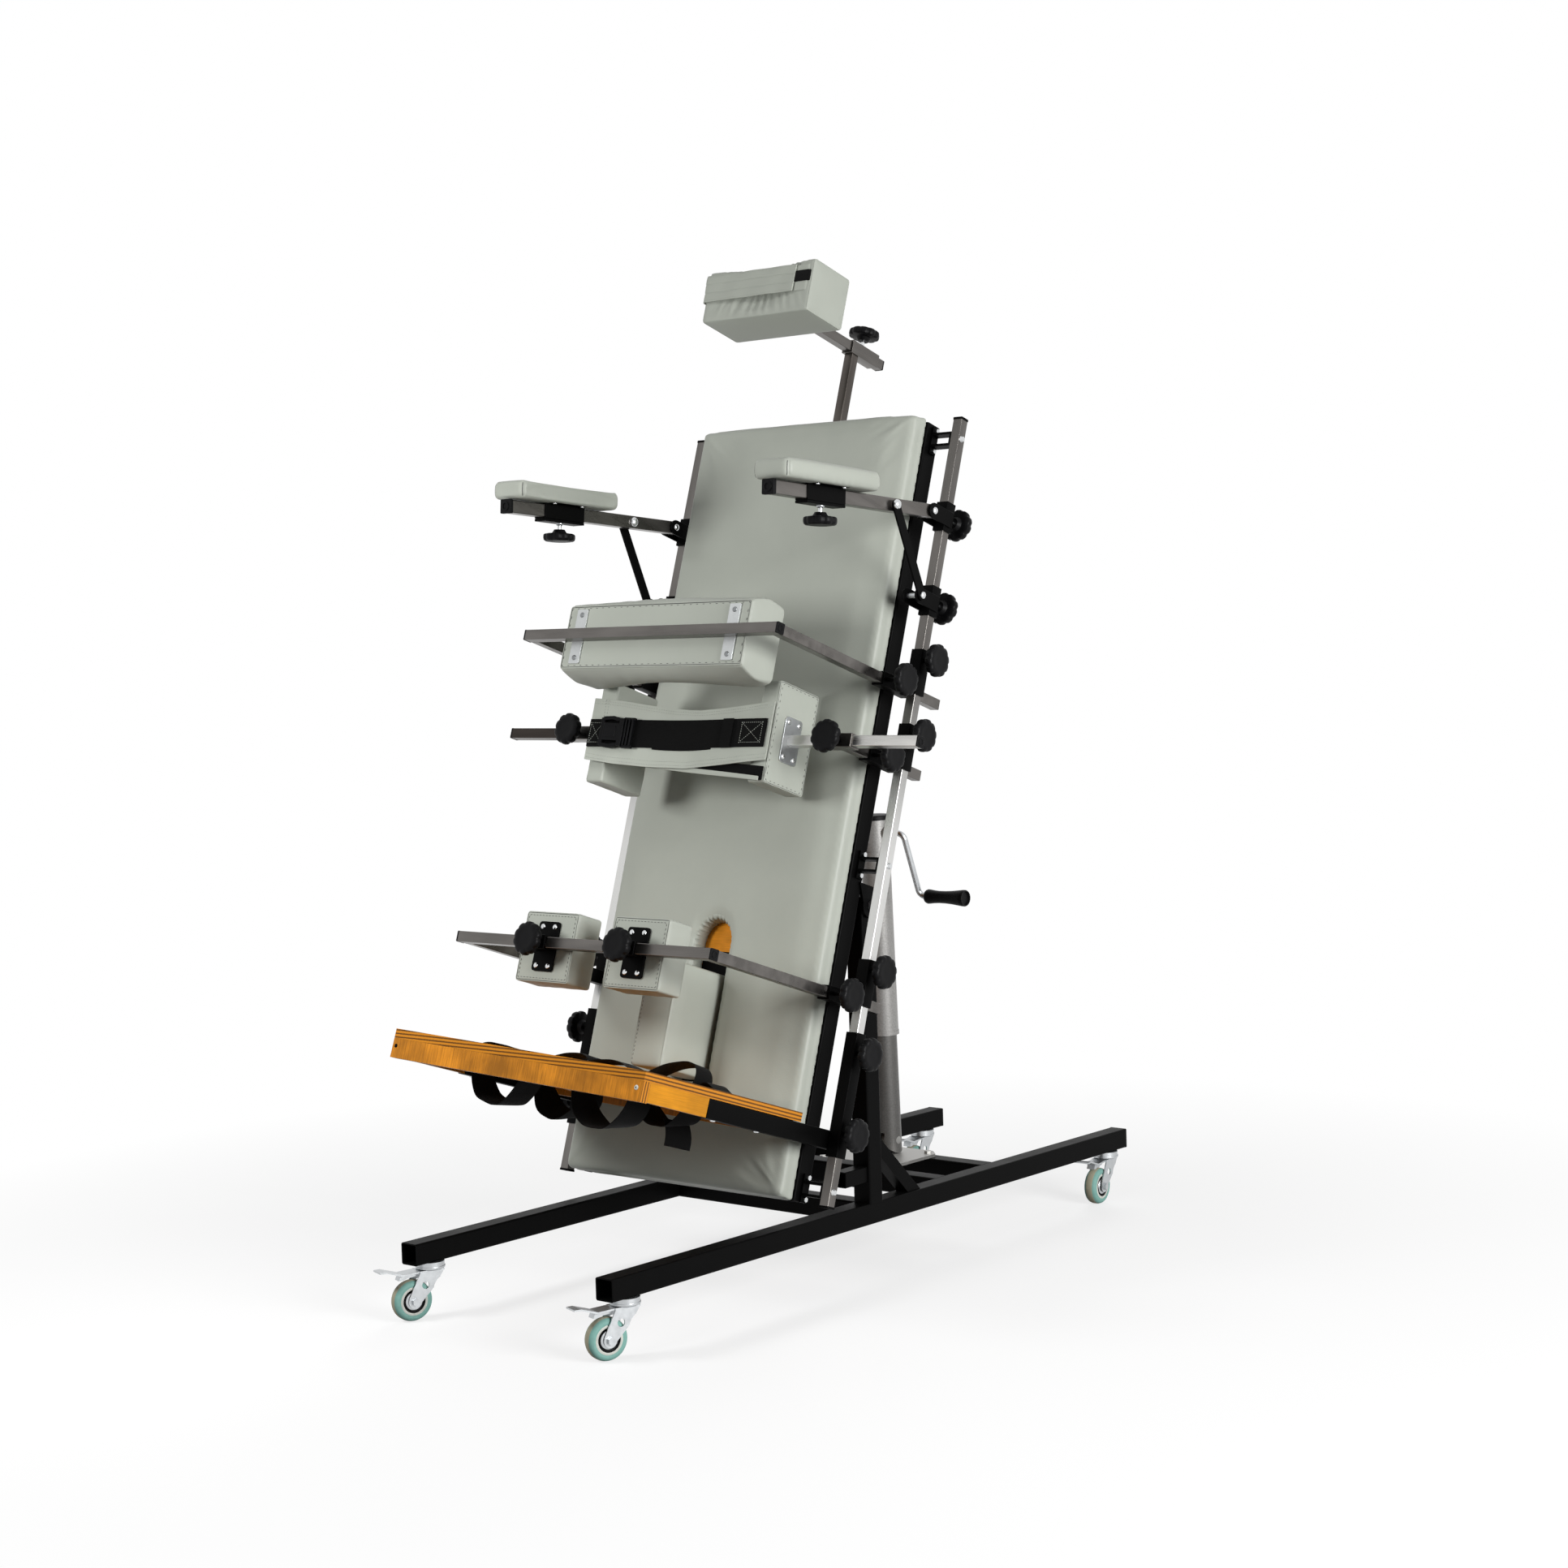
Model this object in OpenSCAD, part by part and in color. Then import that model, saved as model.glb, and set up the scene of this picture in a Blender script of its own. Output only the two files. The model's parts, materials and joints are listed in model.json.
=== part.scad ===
// Standing frame: a tilting padded table on a castor base, raised by a side-wind screw jack.
// Padded head, arm, chest, hip, knee and foot supports slide on a steel rail along each side of the table.
// World axes: X across the table, Y from the patient's front to the back, Z up from the floor.
// Table axes: x across, u up along the table, n out of the cushion towards the patient.

/* [Base] */
// Length of the two base rails
base_l = 1582; // [1400:1:1700]
// Width over the base rails
base_w = 525; // [500:1:560]
// Side of the square base tube
tube = 40; // [36:1:44]
// Height of the rails' underside
rail_z = 105; // [100:1:115]
// Centre of the two posts along the base
post_y = -69; // [-80:1:-60]
// Height of the tilt axis
pivot_z = 707; // [690:1:720]
// Castor wheel diameter
wheel_d = 75; // [70:1:80]
// Castor tyre width
wheel_w = 27; // [22:1:30]
// Distance from the swivel axis to the axle
castor_trail = 39; // [34:1:44]
// Swivel axis in from the end of a rail
castor_inset = 50; // [44:1:60]

/* [Table] */
// Lean of the table from upright as it stands
tilt = 18.35; // [12:0.05:20]
// Width of the cushion
table_w = 535; // [520:1:540]
// Lower end of the cushion along the table
table_u0 = 203; // [190:1:215]
// Upper end of the cushion along the table
table_u1 = 1704; // [1690:1:1720]
// Thickness of the cushion with its board
cushion_t = 42; // [38:1:46]
// Half the width of the keyhole slot
keyhole_r = 42; // [38:1:46]
// Top of the keyhole slot
keyhole_u = 705; // [690:1:720]
// Side of the square accessory rail
rail = 20; // [19:0.5:20.5]
// Centre of the accessory rail from the middle of the table
rail_x = 327; // [324:1:332]
// Centre of the accessory rail behind the board
rail_n = -23.4; // [-25:0.1:-22]

/* [Supports] */
// Centre of the bars that run out from the rail clamps
arm_x = 303; // [301:0.5:303.5]
// Height of the chest bar along the table
chest_u = 1173; // [1168:1:1178]
// Height of the hip arms along the table
hip_u = 1028; // [1022:1:1034]
// Height of the knee bar along the table
knee_u = 580; // [574:1:586]
// Top of the foot board along the table
foot_u = 367; // [360:1:372]
// Armrest hinge height along the table
elbow_u = 1508; // [1500:1:1515]
// Droop of the armrest bar
elbow_droop = 13.8; // [10:0.1:16]
// Diameter of a clamp knob's head
knob_d = 62; // [54:1:64]

/* [Jack] */
// Outer diameter of the jack's tube
jack_d = 60; // [56:1:62]
// Diameter of the ram inside it
ram_d = 52; // [48:1:52]
// Height of the foot pin
foot_pin_z = 177.5; // [176:0.5:180]
// Place of the foot pin along the base
foot_pin_y = 310; // [305:1:315]
// Forward lean of the jack
jack_lean = 1.7; // [1.5:0.1:2]
// Height of the lifting eye as it stands
lift_z = 815; // [805:1:825]
// Place of the lifting eye along the base
lift_y = 228; // [222:1:234]
// Turning radius of the crank
crank_r = 141; // [130:1:150]

/* [Hidden] */
$fn = 48;
front_yaw = 19;
rear_yaw = 5;
pedal_reach = 104;
pedal_half = 16;
cap_t = 3;
weld = 2;
pedal_front = base_l / 2 - castor_inset + pedal_reach * cos(front_yaw) + pedal_half * sin(front_yaw);
mid_shift = (pedal_front - base_l / 2 - cap_t) / 2;
table_y0 = -382.8;
base_x = (base_w - tube) / 2;
base_top = rail_z + tube;
pivot_u = (post_y - table_y0) * sin(tilt) + pivot_z * cos(tilt);
pivot_n = pivot_z * sin(tilt) - (post_y - table_y0) * cos(tilt);
lift_u = (lift_y - table_y0) * sin(tilt) + lift_z * cos(tilt);
lift_n = lift_z * sin(tilt) - (lift_y - table_y0) * cos(tilt);
frame_x = table_w / 2 - 40;
sleeve_gap = 0.3;
sleeve_wall = 3;
sleeve = rail + 2 * (sleeve_gap + sleeve_wall);
board_t = 12;
pivot_r = 8;
running = 0.05;
lever_u0 = lift_u - 95;
lever_u1 = lift_u + 75;
elbow_n = 29;
strut_at = 121.8;
strut_foot_u = 1342;
strut_foot_n = 28;
strut_l = 180.7;
chest_front = 378;
knee_front = 396;
hip_n_r = 140;
hip_n_l = 188;
head_u = 1897;
post_n = -54;
foot_bottom = foot_u - 22;
strap_xs = [-130, 130];
strap_ns = [225, 380];
strap_half = 65;
strap_t = 2;
castors = [[-1, -1, -front_yaw], [1, -1, -front_yaw], [-1, 1, rear_yaw], [1, 1, rear_yaw]];
vinyl = "#A5A9A0";
black = "#1B1B1C";
steel = "#B9BBBC";
zinc = "#C9CCCE";
ply = "#B9722E";

// Base coordinates, centred on the rails, moved to the middle of the whole object's footprint
module on_base() {
  translate([0, mid_shift, 0]) children();
}

// Table coordinates [x, -n, u]
module on_table() {
  on_base() translate([0, table_y0, 0]) rotate([-tilt, 0, 0]) children();
}

// The right side as drawn for 1, mirrored to the left side for -1
module sided(side) {
  if (side > 0) children();
  else mirror([1, 0, 0]) children();
}

module both_sides() {
  children();
  mirror([1, 0, 0]) children();
}

module at(x, u, n) {
  translate([x, -n, u]) children();
}

// Turns +Z to point out of the cushion, behind it, or to the right
module towards_n() {
  rotate([90, 0, 0]) children();
}

module towards_back() {
  rotate([-90, 0, 0]) children();
}

module towards_x() {
  rotate([0, 90, 0]) children();
}

module box(x, y, z) {
  translate([x[0], y[0], z[0]]) cube([x[1] - x[0], y[1] - y[0], z[1] - z[0]]);
}

// A box between limits in table coordinates
module slab(x, n, u) {
  box(x, [-n[1], -n[0]], u);
}

module soft_square(w, h, r) {
  square([w - 2 * r, h], center = true);
  square([w, h - 2 * r], center = true);
  for (x = [-1, 1], y = [-1, 1]) translate([x * (w / 2 - r), y * (h / 2 - r)]) circle(r);
}

module square_tube(side, length, wall = 2, r = 3) {
  linear_extrude(length) difference() {
    soft_square(side, side, r);
    soft_square(side - 2 * wall, side - 2 * wall, max(r - wall, 0.5));
  }
}

// Sleeve that slides on a square bar
module slip_sleeve(bar, length, wall = sleeve_wall) {
  outer = bar + 2 * (sleeve_gap + wall);
  linear_extrude(length) difference() {
    soft_square(outer, outer, 3);
    square(bar + 2 * sleeve_gap, center = true);
  }
}

module end_cap(side, t = cap_t) {
  linear_extrude(t) soft_square(side, side, 2.5);
}

// Star knob on a threaded stud, standing on the plane z = 0
module knob(stud = 12) {
  lobes = 10;
  head_t = 15;
  cylinder(d = 8, h = stud);
  translate([0, 0, stud - 2]) cylinder(d1 = 22, d2 = 34, h = 8);
  translate([0, 0, stud + 4]) linear_extrude(head_t) difference() {
    circle(d = knob_d);
    for (i = [0:lobes - 1]) rotate(i * 360 / lobes) translate([knob_d / 2 + 4, 0]) circle(6.5);
  }
  translate([0, 0, stud + 4 + head_t]) cylinder(d1 = knob_d - 12, d2 = knob_d - 26, h = 3);
}

module hex_head(d, h) {
  cylinder(d = d, h = h, $fn = 6);
}

module pan_head(d, h) {
  cylinder(d1 = d, d2 = d * 0.7, h = h, $fn = 24);
}

// Grid lines from -1 to 1, closer together towards the edges
function grid_lines(k) = [for (i = [-k:k]) sin(90 * i / k)];

// 0 in the middle of a face and 1 at its edge, steeper for a larger p
function to_edge(u, v, p) = 1 - (1 - pow(abs(u), p)) * (1 - pow(abs(v), p));

// Closed cushion with a front and a back skin over a grid and sides drawn in between their seams.
// front and back give n for grid places u and v from -1 to 1.
module cushion(w, h, front, back, k, m, waist = 2) {
  us = grid_lines(k);
  vs = grid_lines(m);
  ni = 2 * k + 1;
  nj = 2 * m + 1;
  skin_points = ni * nj;
  plan = [for (u = us) for (v = vs) [w / 2 * u * (1 - 0.02 * v * v), h / 2 * v * (1 - 0.02 * u * u), u, v]];
  front_skin = [for (q = plan) [q[0], -front(q[2], q[3]), q[1]]];
  back_skin = [for (q = plan) [q[0], -back(q[2], q[3]), q[1]]];
  rim = concat(
    [for (i = [0:ni - 2]) i * nj],
    [for (j = [0:nj - 2]) (ni - 1) * nj + j],
    [for (i = [ni - 1:-1:1]) i * nj + nj - 1],
    [for (j = [nj - 1:-1:1]) j]
  );
  turns = len(rim);
  side_ring = [for (r = rim) let (f = front_skin[r], b = back_skin[r])
    [f[0] * (1 - 2 * waist / w), (f[1] + b[1]) / 2, f[2] * (1 - 2 * waist / h)]];
  cells = [for (i = [0:ni - 2]) for (j = [0:nj - 2])
    [i * nj + j, (i + 1) * nj + j, (i + 1) * nj + j + 1, i * nj + j + 1]];
  front_faces = [for (c = cells) each [[c[0], c[3], c[2]], [c[0], c[2], c[1]]]];
  back_faces = [for (c = cells) each [
    [c[0] + skin_points, c[2] + skin_points, c[3] + skin_points],
    [c[0] + skin_points, c[1] + skin_points, c[2] + skin_points]]];
  side_faces = [for (i = [0:turns - 1])
    let (p = rim[i], q = rim[(i + 1) % turns])
    let (pm = 2 * skin_points + i, qm = 2 * skin_points + (i + 1) % turns)
    each [[p, q, qm], [p, qm, pm], [pm, qm, q + skin_points], [pm, q + skin_points, p + skin_points]]];
  polyhedron(concat(front_skin, back_skin, side_ring), concat(front_faces, back_faces, side_faces));
}

// Flat cushion with a crowned front face
module crowned(w, h, n0, n1, crown, k, m, p = 4) {
  cushion(w, h, function(u, v) n1 - crown * to_edge(u, v, p), function(u, v) n0, k, m);
}

// Base of welded square tube: two long rails, cross tubes, posts, stops and braces.
// Each tube runs a little way into the wall that it is welded to.
module base_frame() {
  post_top = pivot_z + 15;
  cross_l = base_w - 2 * tube + 2 * weld;
  color(black) on_base() {
    both_sides() {
      difference() {
        translate([base_x, -base_l / 2, rail_z + tube / 2]) towards_back() square_tube(tube, base_l, 2.5, 4);
        for (y = [-1, 1]) {
          translate([base_x, y * (base_l / 2 - castor_inset), rail_z - 1]) cylinder(d = 10.4, h = 5);
        }
      }
      difference() {
        translate([base_x, post_y, base_top - weld]) square_tube(tube, post_top - base_top + weld, 2.5, 4);
        translate([base_x, post_y, pivot_z]) towards_x()
          cylinder(r = pivot_r + running, h = tube + 20, center = true);
      }
      translate([base_x, post_y - tube / 2 + weld, 200]) towards_n() square_tube(30, 64 + weld, 2.5, 3);
      translate([base_x - 14, 0, 0]) rotate([90, 0, 90]) linear_extrude(28)
        polygon([[post_y + 18.5, 267], [76, base_top - 1.5], [37, base_top - 1.5], [post_y + 18.5, 231]]);
    }
    for (y = [post_y, 182, 338]) {
      translate([-cross_l / 2, y, rail_z + tube / 2]) towards_x() square_tube(tube, cross_l, 2.5, 4);
    }
    translate([-cross_l / 2, post_y, 195]) towards_x() square_tube(tube, cross_l, 2.5, 4);
  }
}

// Plastic plugs in the rear rail ends and on the post tops
module base_caps() {
  color(black) on_base() both_sides() {
    translate([base_x, base_l / 2, rail_z + tube / 2]) towards_back() end_cap(tube);
    translate([base_x, post_y, pivot_z + 15]) end_cap(tube, 2.5);
  }
}

// Steel plate across the rear cross tubes with the lug and pin of the jack's foot
module jack_plate() {
  half = 95;
  lug = 15.4;
  y0 = 165;
  y1 = 362;
  color(steel) on_base() {
    translate([0, 0, base_top]) linear_extrude(6)
      polygon([[-half, y0 + 22], [-half + 22, y0], [half - 22, y0], [half, y0 + 22],
        [half, y1 - 22], [half - 22, y1], [22 - half, y1], [-half, y1 - 22]]);
    translate([-lug / 2, foot_pin_y, 0]) rotate([90, 0, 90]) linear_extrude(lug) {
      translate([0, foot_pin_z]) circle(14.5);
      translate([-14.5, base_top + 6]) square([29, foot_pin_z - base_top - 6]);
    }
    translate([-ram_d / 2 + 1, foot_pin_y, foot_pin_z]) towards_x() cylinder(r = pivot_r, h = ram_d - 2);
    for (x = [-1, 1], y = [y0 + 24, y1 - 24]) translate([x * (half - 18), y, base_top + 6]) hex_head(15, 5);
  }
}

// Tilt axle bolts through the post tops
module pivot_bolts() {
  color(zinc) on_base() both_sides() translate([0, post_y, pivot_z]) towards_x() {
    translate([0, 0, base_x - 30]) cylinder(r = pivot_r, h = 59);
    translate([0, 0, base_x + 28.5]) hex_head(24, 8);
    translate([0, 0, base_x - 37]) hex_head(24, 8);
  }
}

module at_castor(c) {
  on_base() translate([c[0] * base_x, c[1] * (base_l / 2 - castor_inset), rail_z])
    rotate([0, 0, c[2]]) children();
}

// Side cheek of a castor fork, in the plane of the wheel: y along the trail, z down to the axle
module fork_cheek() {
  drop = rail_z - wheel_d / 2;
  difference() {
    union() {
      polygon([[20, -14], [-26, -14], [-castor_trail - 12, -drop + 6],
        [-castor_trail + 11, -drop - 4], [2, -42]]);
      translate([-castor_trail, -drop]) circle(12.5);
    }
    translate([24, -52]) circle(27);
    translate([-castor_trail - 12, -30]) circle(15);
    translate([-18, -40]) circle(7);
  }
}

// Zinc-plated swivel fork with ball race, axle and brake pedal
module castor_fork(c) {
  drop = rail_z - wheel_d / 2;
  half = wheel_w / 2 + 2;
  color(zinc) at_castor(c) {
    translate([0, 0, -12]) cylinder(d = 52, h = 11.5);
    cylinder(d = 10, h = 3.8);
    translate([0, 0, -15]) rotate_extrude() polygon([[0, 0], [22, 0], [27, 3], [27, 6], [0, 6]]);
    translate([-half - 2.5, -28, -17]) cube([2 * half + 5, 48, 3]);
    for (x = [-half - 2.5, half]) translate([x, 0, 0]) rotate([90, 0, 90]) linear_extrude(2.5) fork_cheek();
    translate([0, -castor_trail, -drop]) towards_x() {
      cylinder(r = 5, h = 2 * half + 8, center = true);
      for (z = [-half - 8.5, half + 2.5]) translate([0, 0, z]) hex_head(15, 6);
    }
    translate([-pedal_half, 0, 0]) rotate([90, 0, 90]) linear_extrude(2 * pedal_half)
      polygon([[-22, -17], [-22, -14], [-60, -16], [-92, -6], [-pedal_reach, -6],
        [-pedal_reach, -9], [-91, -9], [-60, -19.5]]);
    translate([-9, 0, 0]) rotate([90, 0, 90]) linear_extrude(18)
      polygon([[-28, -17], [-62, -18], [-66, -28], [-58, -28], [-50, -25], [-34, -23.5]]);
  }
}

// Wheel with rounded rubber tyre, raised rim ring and hub disc
module castor_wheel(c) {
  drop = rail_z - wheel_d / 2;
  r = wheel_d / 2;
  h = wheel_w / 2;
  color("#6FA59C") at_castor(c) translate([0, -castor_trail, -drop]) towards_x() rotate_extrude() {
    difference() {
      union() {
        translate([5 + running, -h + 3]) square([r - 12 - running, 2 * h - 6]);
        translate([5 + running, -h]) square([12, 2 * h]);
        translate([r - 12, -h]) square([4, 2 * h]);
        translate([r - 8, -h + 8]) square([8, 2 * h - 16]);
        for (s = [-1, 1]) translate([r - 8, s * (h - 8)]) circle(8);
      }
      for (s = [-1, 1]) translate([r - 14, s * h]) square([1.6, 5], center = true);
    }
  }
}

// Bolt-through lug of the tilt axle, drawn in the plane of n and u
module pivot_lug() {
  difference() {
    union() {
      circle(24);
      polygon([[-24, 0], [24, 0], [44, -pivot_n - 41], [-44, -pivot_n - 41]]);
    }
    circle(pivot_r + running);
  }
}

// Welded table frame with pivot lugs, jack lever and head post socket
module table_frame() {
  n_mid = -21;
  inner = 2 * frame_x;
  color(black) on_table() {
    both_sides() {
      at(frame_x + 20, table_u0 + 2, n_mid) square_tube(40, table_u1 - table_u0 - 4, 2.5, 4);
      for (x = [base_x + tube / 2 + 1.5, base_x - tube / 2 - 7.5]) {
        at(x, pivot_u, pivot_n) rotate([90, 0, 0]) rotate([0, 90, 0]) linear_extrude(6) pivot_lug();
      }
      slab([base_x - tube / 2 - 7.5, frame_x], [-41, -35], [pivot_u - 44, pivot_u + 44]);
      lever_plate();
    }
    for (u = [table_u0 + 22, pivot_u - 80, lever_u0 + 20, lever_u1 - 20, table_u1 - 22]) {
      at(-inner / 2, u, n_mid) towards_x() square_tube(40, inner, 2.5, 4);
    }
    difference() {
      union() {
        slab([-16, 16], [-70, -38], [table_u1 - 160, table_u1 - 2]);
        slab([-30, 30], [-44, -41], [table_u1 - 44, table_u1 - 2]);
      }
      slab([-10.3, 10.3], [post_n - 10.3, post_n + 10.3], [table_u1 - 170, table_u1 + 2]);
    }
  }
}

// Lever plate from the frame's cross tubes back to the lifting eye, with its bolt head
module lever_plate() {
  at(8.5, 0, 0) rotate([90, 0, 90]) linear_extrude(6) {
    polygon([[41, lever_u0], [41, lever_u1], [-lift_n, lift_u + 16], [-lift_n, lift_u - 16]]);
    translate([-lift_n, lift_u]) circle(16);
  }
  at(14.5, lift_u, lift_n) towards_x() hex_head(24, 9);
}

// Plywood under the cushion
module table_board() {
  color(ply) on_table()
    slab([-table_w / 2 + 10, table_w / 2 - 10], [0, board_t], [table_u0 + 8, table_u1 - 8]);
}

// Long cushion with rounded front edges, wrapped over the board and slotted at the legs
module table_cushion() {
  length = table_u1 - table_u0;
  slot_end = 395;
  color(vinyl) on_table() difference() {
    at(0, (table_u0 + table_u1) / 2, 0) crowned(table_w, length, 0.2, cushion_t + 0.5, 13, 6, 12, 16);
    slab([-table_w / 2 + 9.5, table_w / 2 - 9.5], [-5, board_t + 0.3], [table_u0 + 7.5, table_u1 - 7.5]);
    at(0, keyhole_u - keyhole_r, 0) towards_n() cylinder(r = keyhole_r, h = 60);
    slab([-keyhole_r, keyhole_r], [0, 60], [slot_end, keyhole_u - keyhole_r]);
  }
}

// Wedge between the knees, wider at its front
module abduction_block() {
  u0 = 398;
  u1 = 603;
  depth = 170 - board_t;
  color(vinyl) on_table() at(0, (u0 + u1) / 2, board_t + 0.4)
    towards_n() linear_extrude(depth, scale = [41 / 30, 1]) soft_square(60, u1 - u0, 9, $fn = 16);
}

// Stainless accessory rails beside the table
module side_rails() {
  color(steel) on_table() both_sides() {
    at(rail_x, table_u0 + 1, rail_n) square_tube(rail, table_u1 - table_u0 + 3, 1.5, 1.5);
  }
}

// Strap brackets that hold the rails off the frame, and the rails' end caps
module rail_brackets() {
  inner = rail_x - rail / 2;
  outer = table_w / 2 + 0.05;
  color(black) on_table() both_sides() {
    for (u = [table_u0 + 27, 835, table_u1 - 34]) {
      slab([outer, outer + 5], [rail_n - 9, rail_n + 9], [u - 26, u + 26]);
      slab([outer, inner], [rail_n - 9, rail_n + 9], [u - 14, u - 9]);
      slab([outer, inner], [rail_n - 9, rail_n + 9], [u + 9, u + 14]);
      slab([inner - 4, inner], [rail_n - 9, rail_n + 9], [u - 14, u + 14]);
    }
    at(rail_x, table_u1 + 4, rail_n) end_cap(rail + 2, 4);
    at(rail_x, table_u0 - 3, rail_n) end_cap(rail + 2, 4);
  }
}

// Chrome bolts of the rails and brackets
module table_bolts() {
  outer = table_w / 2 + 5.1;
  color(zinc) on_table() both_sides() {
    for (u = [table_u0 + 27, 835, table_u1 - 34]) {
      at(rail_x + rail / 2, u, rail_n) towards_x() pan_head(13, 4);
      for (v = [-20, 20]) at(outer, u + v, rail_n) towards_x() hex_head(10, 5);
    }
  }
}

module on_jack() {
  on_base() translate([0, foot_pin_y, foot_pin_z]) rotate([jack_lean, 0, 0]) children();
}

// Inner ram with its forked foot
module jack_ram() {
  r = ram_d / 2;
  color(steel) on_jack() difference() {
    union() {
      cylinder(r = r, h = 385);
      intersection() {
        towards_x() cylinder(r = r, h = ram_d, center = true);
        translate([0, 0, -r]) cylinder(r = r, h = ram_d);
      }
    }
    translate([-8, -r - 1, -r - 1]) cube([16, ram_d + 2, r + 18]);
    towards_x() cylinder(r = pivot_r + running, h = ram_d + 2, center = true);
    translate([0, 0, 60]) cylinder(r = r - 4, h = 400);
  }
}

// Eye plate on the front of the gear head, reaching to the table's lever
module lifting_eye() {
  out = [lift_y - foot_pin_y, lift_z - foot_pin_z];
  across = out[0] * cos(jack_lean) + out[1] * sin(jack_lean);
  up = out[1] * cos(jack_lean) - out[0] * sin(jack_lean);
  translate([-7.7, 0, 0]) rotate([90, 0, 90]) linear_extrude(15.4) {
    translate([across, up]) circle(15);
    polygon([[across, up - 15], [-20, up - 29], [-20, up + 17], [across, up + 15]]);
  }
}

// Outer tube with ring, gear head, lifting eye and cap
module jack_tube() {
  r = jack_d / 2;
  bore = ram_d / 2 + sleeve_gap;
  s0 = 218;
  s1 = 608;
  color(steel) on_jack() {
    difference() {
      union() {
        translate([0, 0, s0]) cylinder(r = r, h = s1 - s0);
        translate([0, 0, s0]) cylinder(r = r + 1, h = 8);
        translate([0, 0, s1 - 12]) cylinder(r = r + 2.5, h = 12);
      }
      translate([0, 0, s0 - 1]) cylinder(r = bore, h = s1 - s0 - 9);
    }
    translate([0, 0, s1]) cylinder(r = r + 1, h = 51);
    translate([0, 0, s1 + 51]) cylinder(r1 = r + 3, r2 = r, h = 9);
    lifting_eye();
    translate([r - 8, 0, s1 + 24]) towards_x() cylinder(d = 30, h = 15);
  }
}

// Side crank: shaft, bend, arm and grip spindle
module crank() {
  s_head = 632;
  rod = 12;
  swing = 21;
  bend_x = 73;
  bend = 14;
  start = jack_d / 2 + 7.5;
  color(zinc) on_jack() translate([0, 0, s_head]) rotate([swing - jack_lean, 0, 0]) {
    translate([start, 0, 0]) towards_x() cylinder(d = rod, h = bend_x - bend - start);
    translate([bend_x - bend, 0, -bend]) rotate([90, 0, 0]) rotate_extrude(angle = 90)
      translate([bend, 0]) circle(d = rod);
    translate([bend_x, 0, -crank_r + bend]) cylinder(d = rod, h = crank_r - 2 * bend);
    translate([bend_x + bend, 0, -crank_r + bend]) rotate([90, 180, 0]) rotate_extrude(angle = 90)
      translate([bend, 0]) circle(d = rod);
    translate([bend_x + bend, 0, -crank_r]) towards_x() cylinder(r = rod / 2 - 1, h = 96);
  }
}

// Waisted grip that turns on the crank's spindle
module crank_grip() {
  s_head = 632;
  swing = 21;
  bore = 5 + running;
  color(black) on_jack() translate([0, 0, s_head]) rotate([swing - jack_lean, 0, 0])
    translate([90, 0, -crank_r]) towards_x() rotate_extrude() difference() {
      polygon([[bore, 0], [13, 0], [15, 6], [12.5, 30], [13, 55], [16.5, 88],
        [16.5, 98], [13.5, 98], [12, 94], [bore, 94]]);
      translate([15.5, 0.5]) square([4, 2]);
    }
}

// Head post with the cross sleeve at its top and its knob
module head_post() {
  color(steel) on_table() {
    at(0, 1560, post_n) square_tube(rail, head_u - 13 - 1560, 2, 1.5);
    at(0, head_u, post_n - 70) towards_n() slip_sleeve(rail, 86);
  }
  color(black) on_table() at(0, head_u + sleeve / 2, post_n - 27) knob(16);
}

// Bar that carries the head pad
module head_bar() {
  plate_n = 140;
  color(steel) on_table() {
    at(0, head_u, -142) towards_n() square_tube(rail, plate_n + 142 - 3, 2, 1.5);
    slab([-45, 45], [plate_n - 3, plate_n], [head_u - 30, head_u + 36]);
  }
  color(black) on_table() at(0, head_u, -146) towards_n() end_cap(rail, 4);
}

// Head pad: crowned, hollowed in the middle of its face
module head_pad() {
  n0 = 140.2;
  n1 = 236;
  color(vinyl) on_table() at(-3, 1904, 0) cushion(270, 97,
    function(u, v) n1 - 26 * pow(cos(90 * u), 2) * (1 - 0.4 * v * v) - 8 * to_edge(u, v, 6),
    function(u, v) n0 + 5 * to_edge(u, v, 6), 6, 4, 3);
}

// Band across the face of the head pad, wrapped round its left end
module head_strap() {
  n_face = 240;
  n_end = 188;
  half = 138;
  color(vinyl) on_table() at(-3, 1908, 0) {
    slab([-half - 3, half - 6], [n_face - 3, n_face], [-26, 26]);
    slab([-half - 3, -half], [n_end, n_face - 3], [-26, 26]);
  }
}

module on_arm() {
  at(rail_x, elbow_u, elbow_n) rotate([elbow_droop, 0, 0]) children();
}

// Hinge ears on a rail sleeve, with their bolt; ear plates sit on both faces of the sleeve
module hinge_ears(u, n, bolt_out) {
  ear = 3.5;
  for (x = [rail_x - sleeve / 2 - ear, rail_x + sleeve / 2]) {
    at(x, u, 0) rotate([90, 0, 90]) linear_extrude(ear) {
      translate([-n, 0]) circle(15);
      translate([-n, -15]) square([n + 30, 30]);
    }
  }
  at(rail_x - sleeve / 2 - ear - 5, u, n) towards_x() hex_head(15, 5);
  at(rail_x - sleeve / 2 - ear, u, n) towards_x() cylinder(r = 5, h = sleeve + 2 * ear + bolt_out);
  at(rail_x + sleeve / 2 + ear + bolt_out, u, n) towards_x() hex_head(15, 5);
}

// Upper rail clamp of an armrest
module arm_clamp(side) {
  color(black) on_table() sided(side) {
    at(rail_x, 1484, rail_n) slip_sleeve(rail, 57);
    hinge_ears(elbow_u, elbow_n, 0);
    at(rail_x, 1512, rail_n - sleeve / 2) towards_back() knob(18);
  }
}

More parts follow.
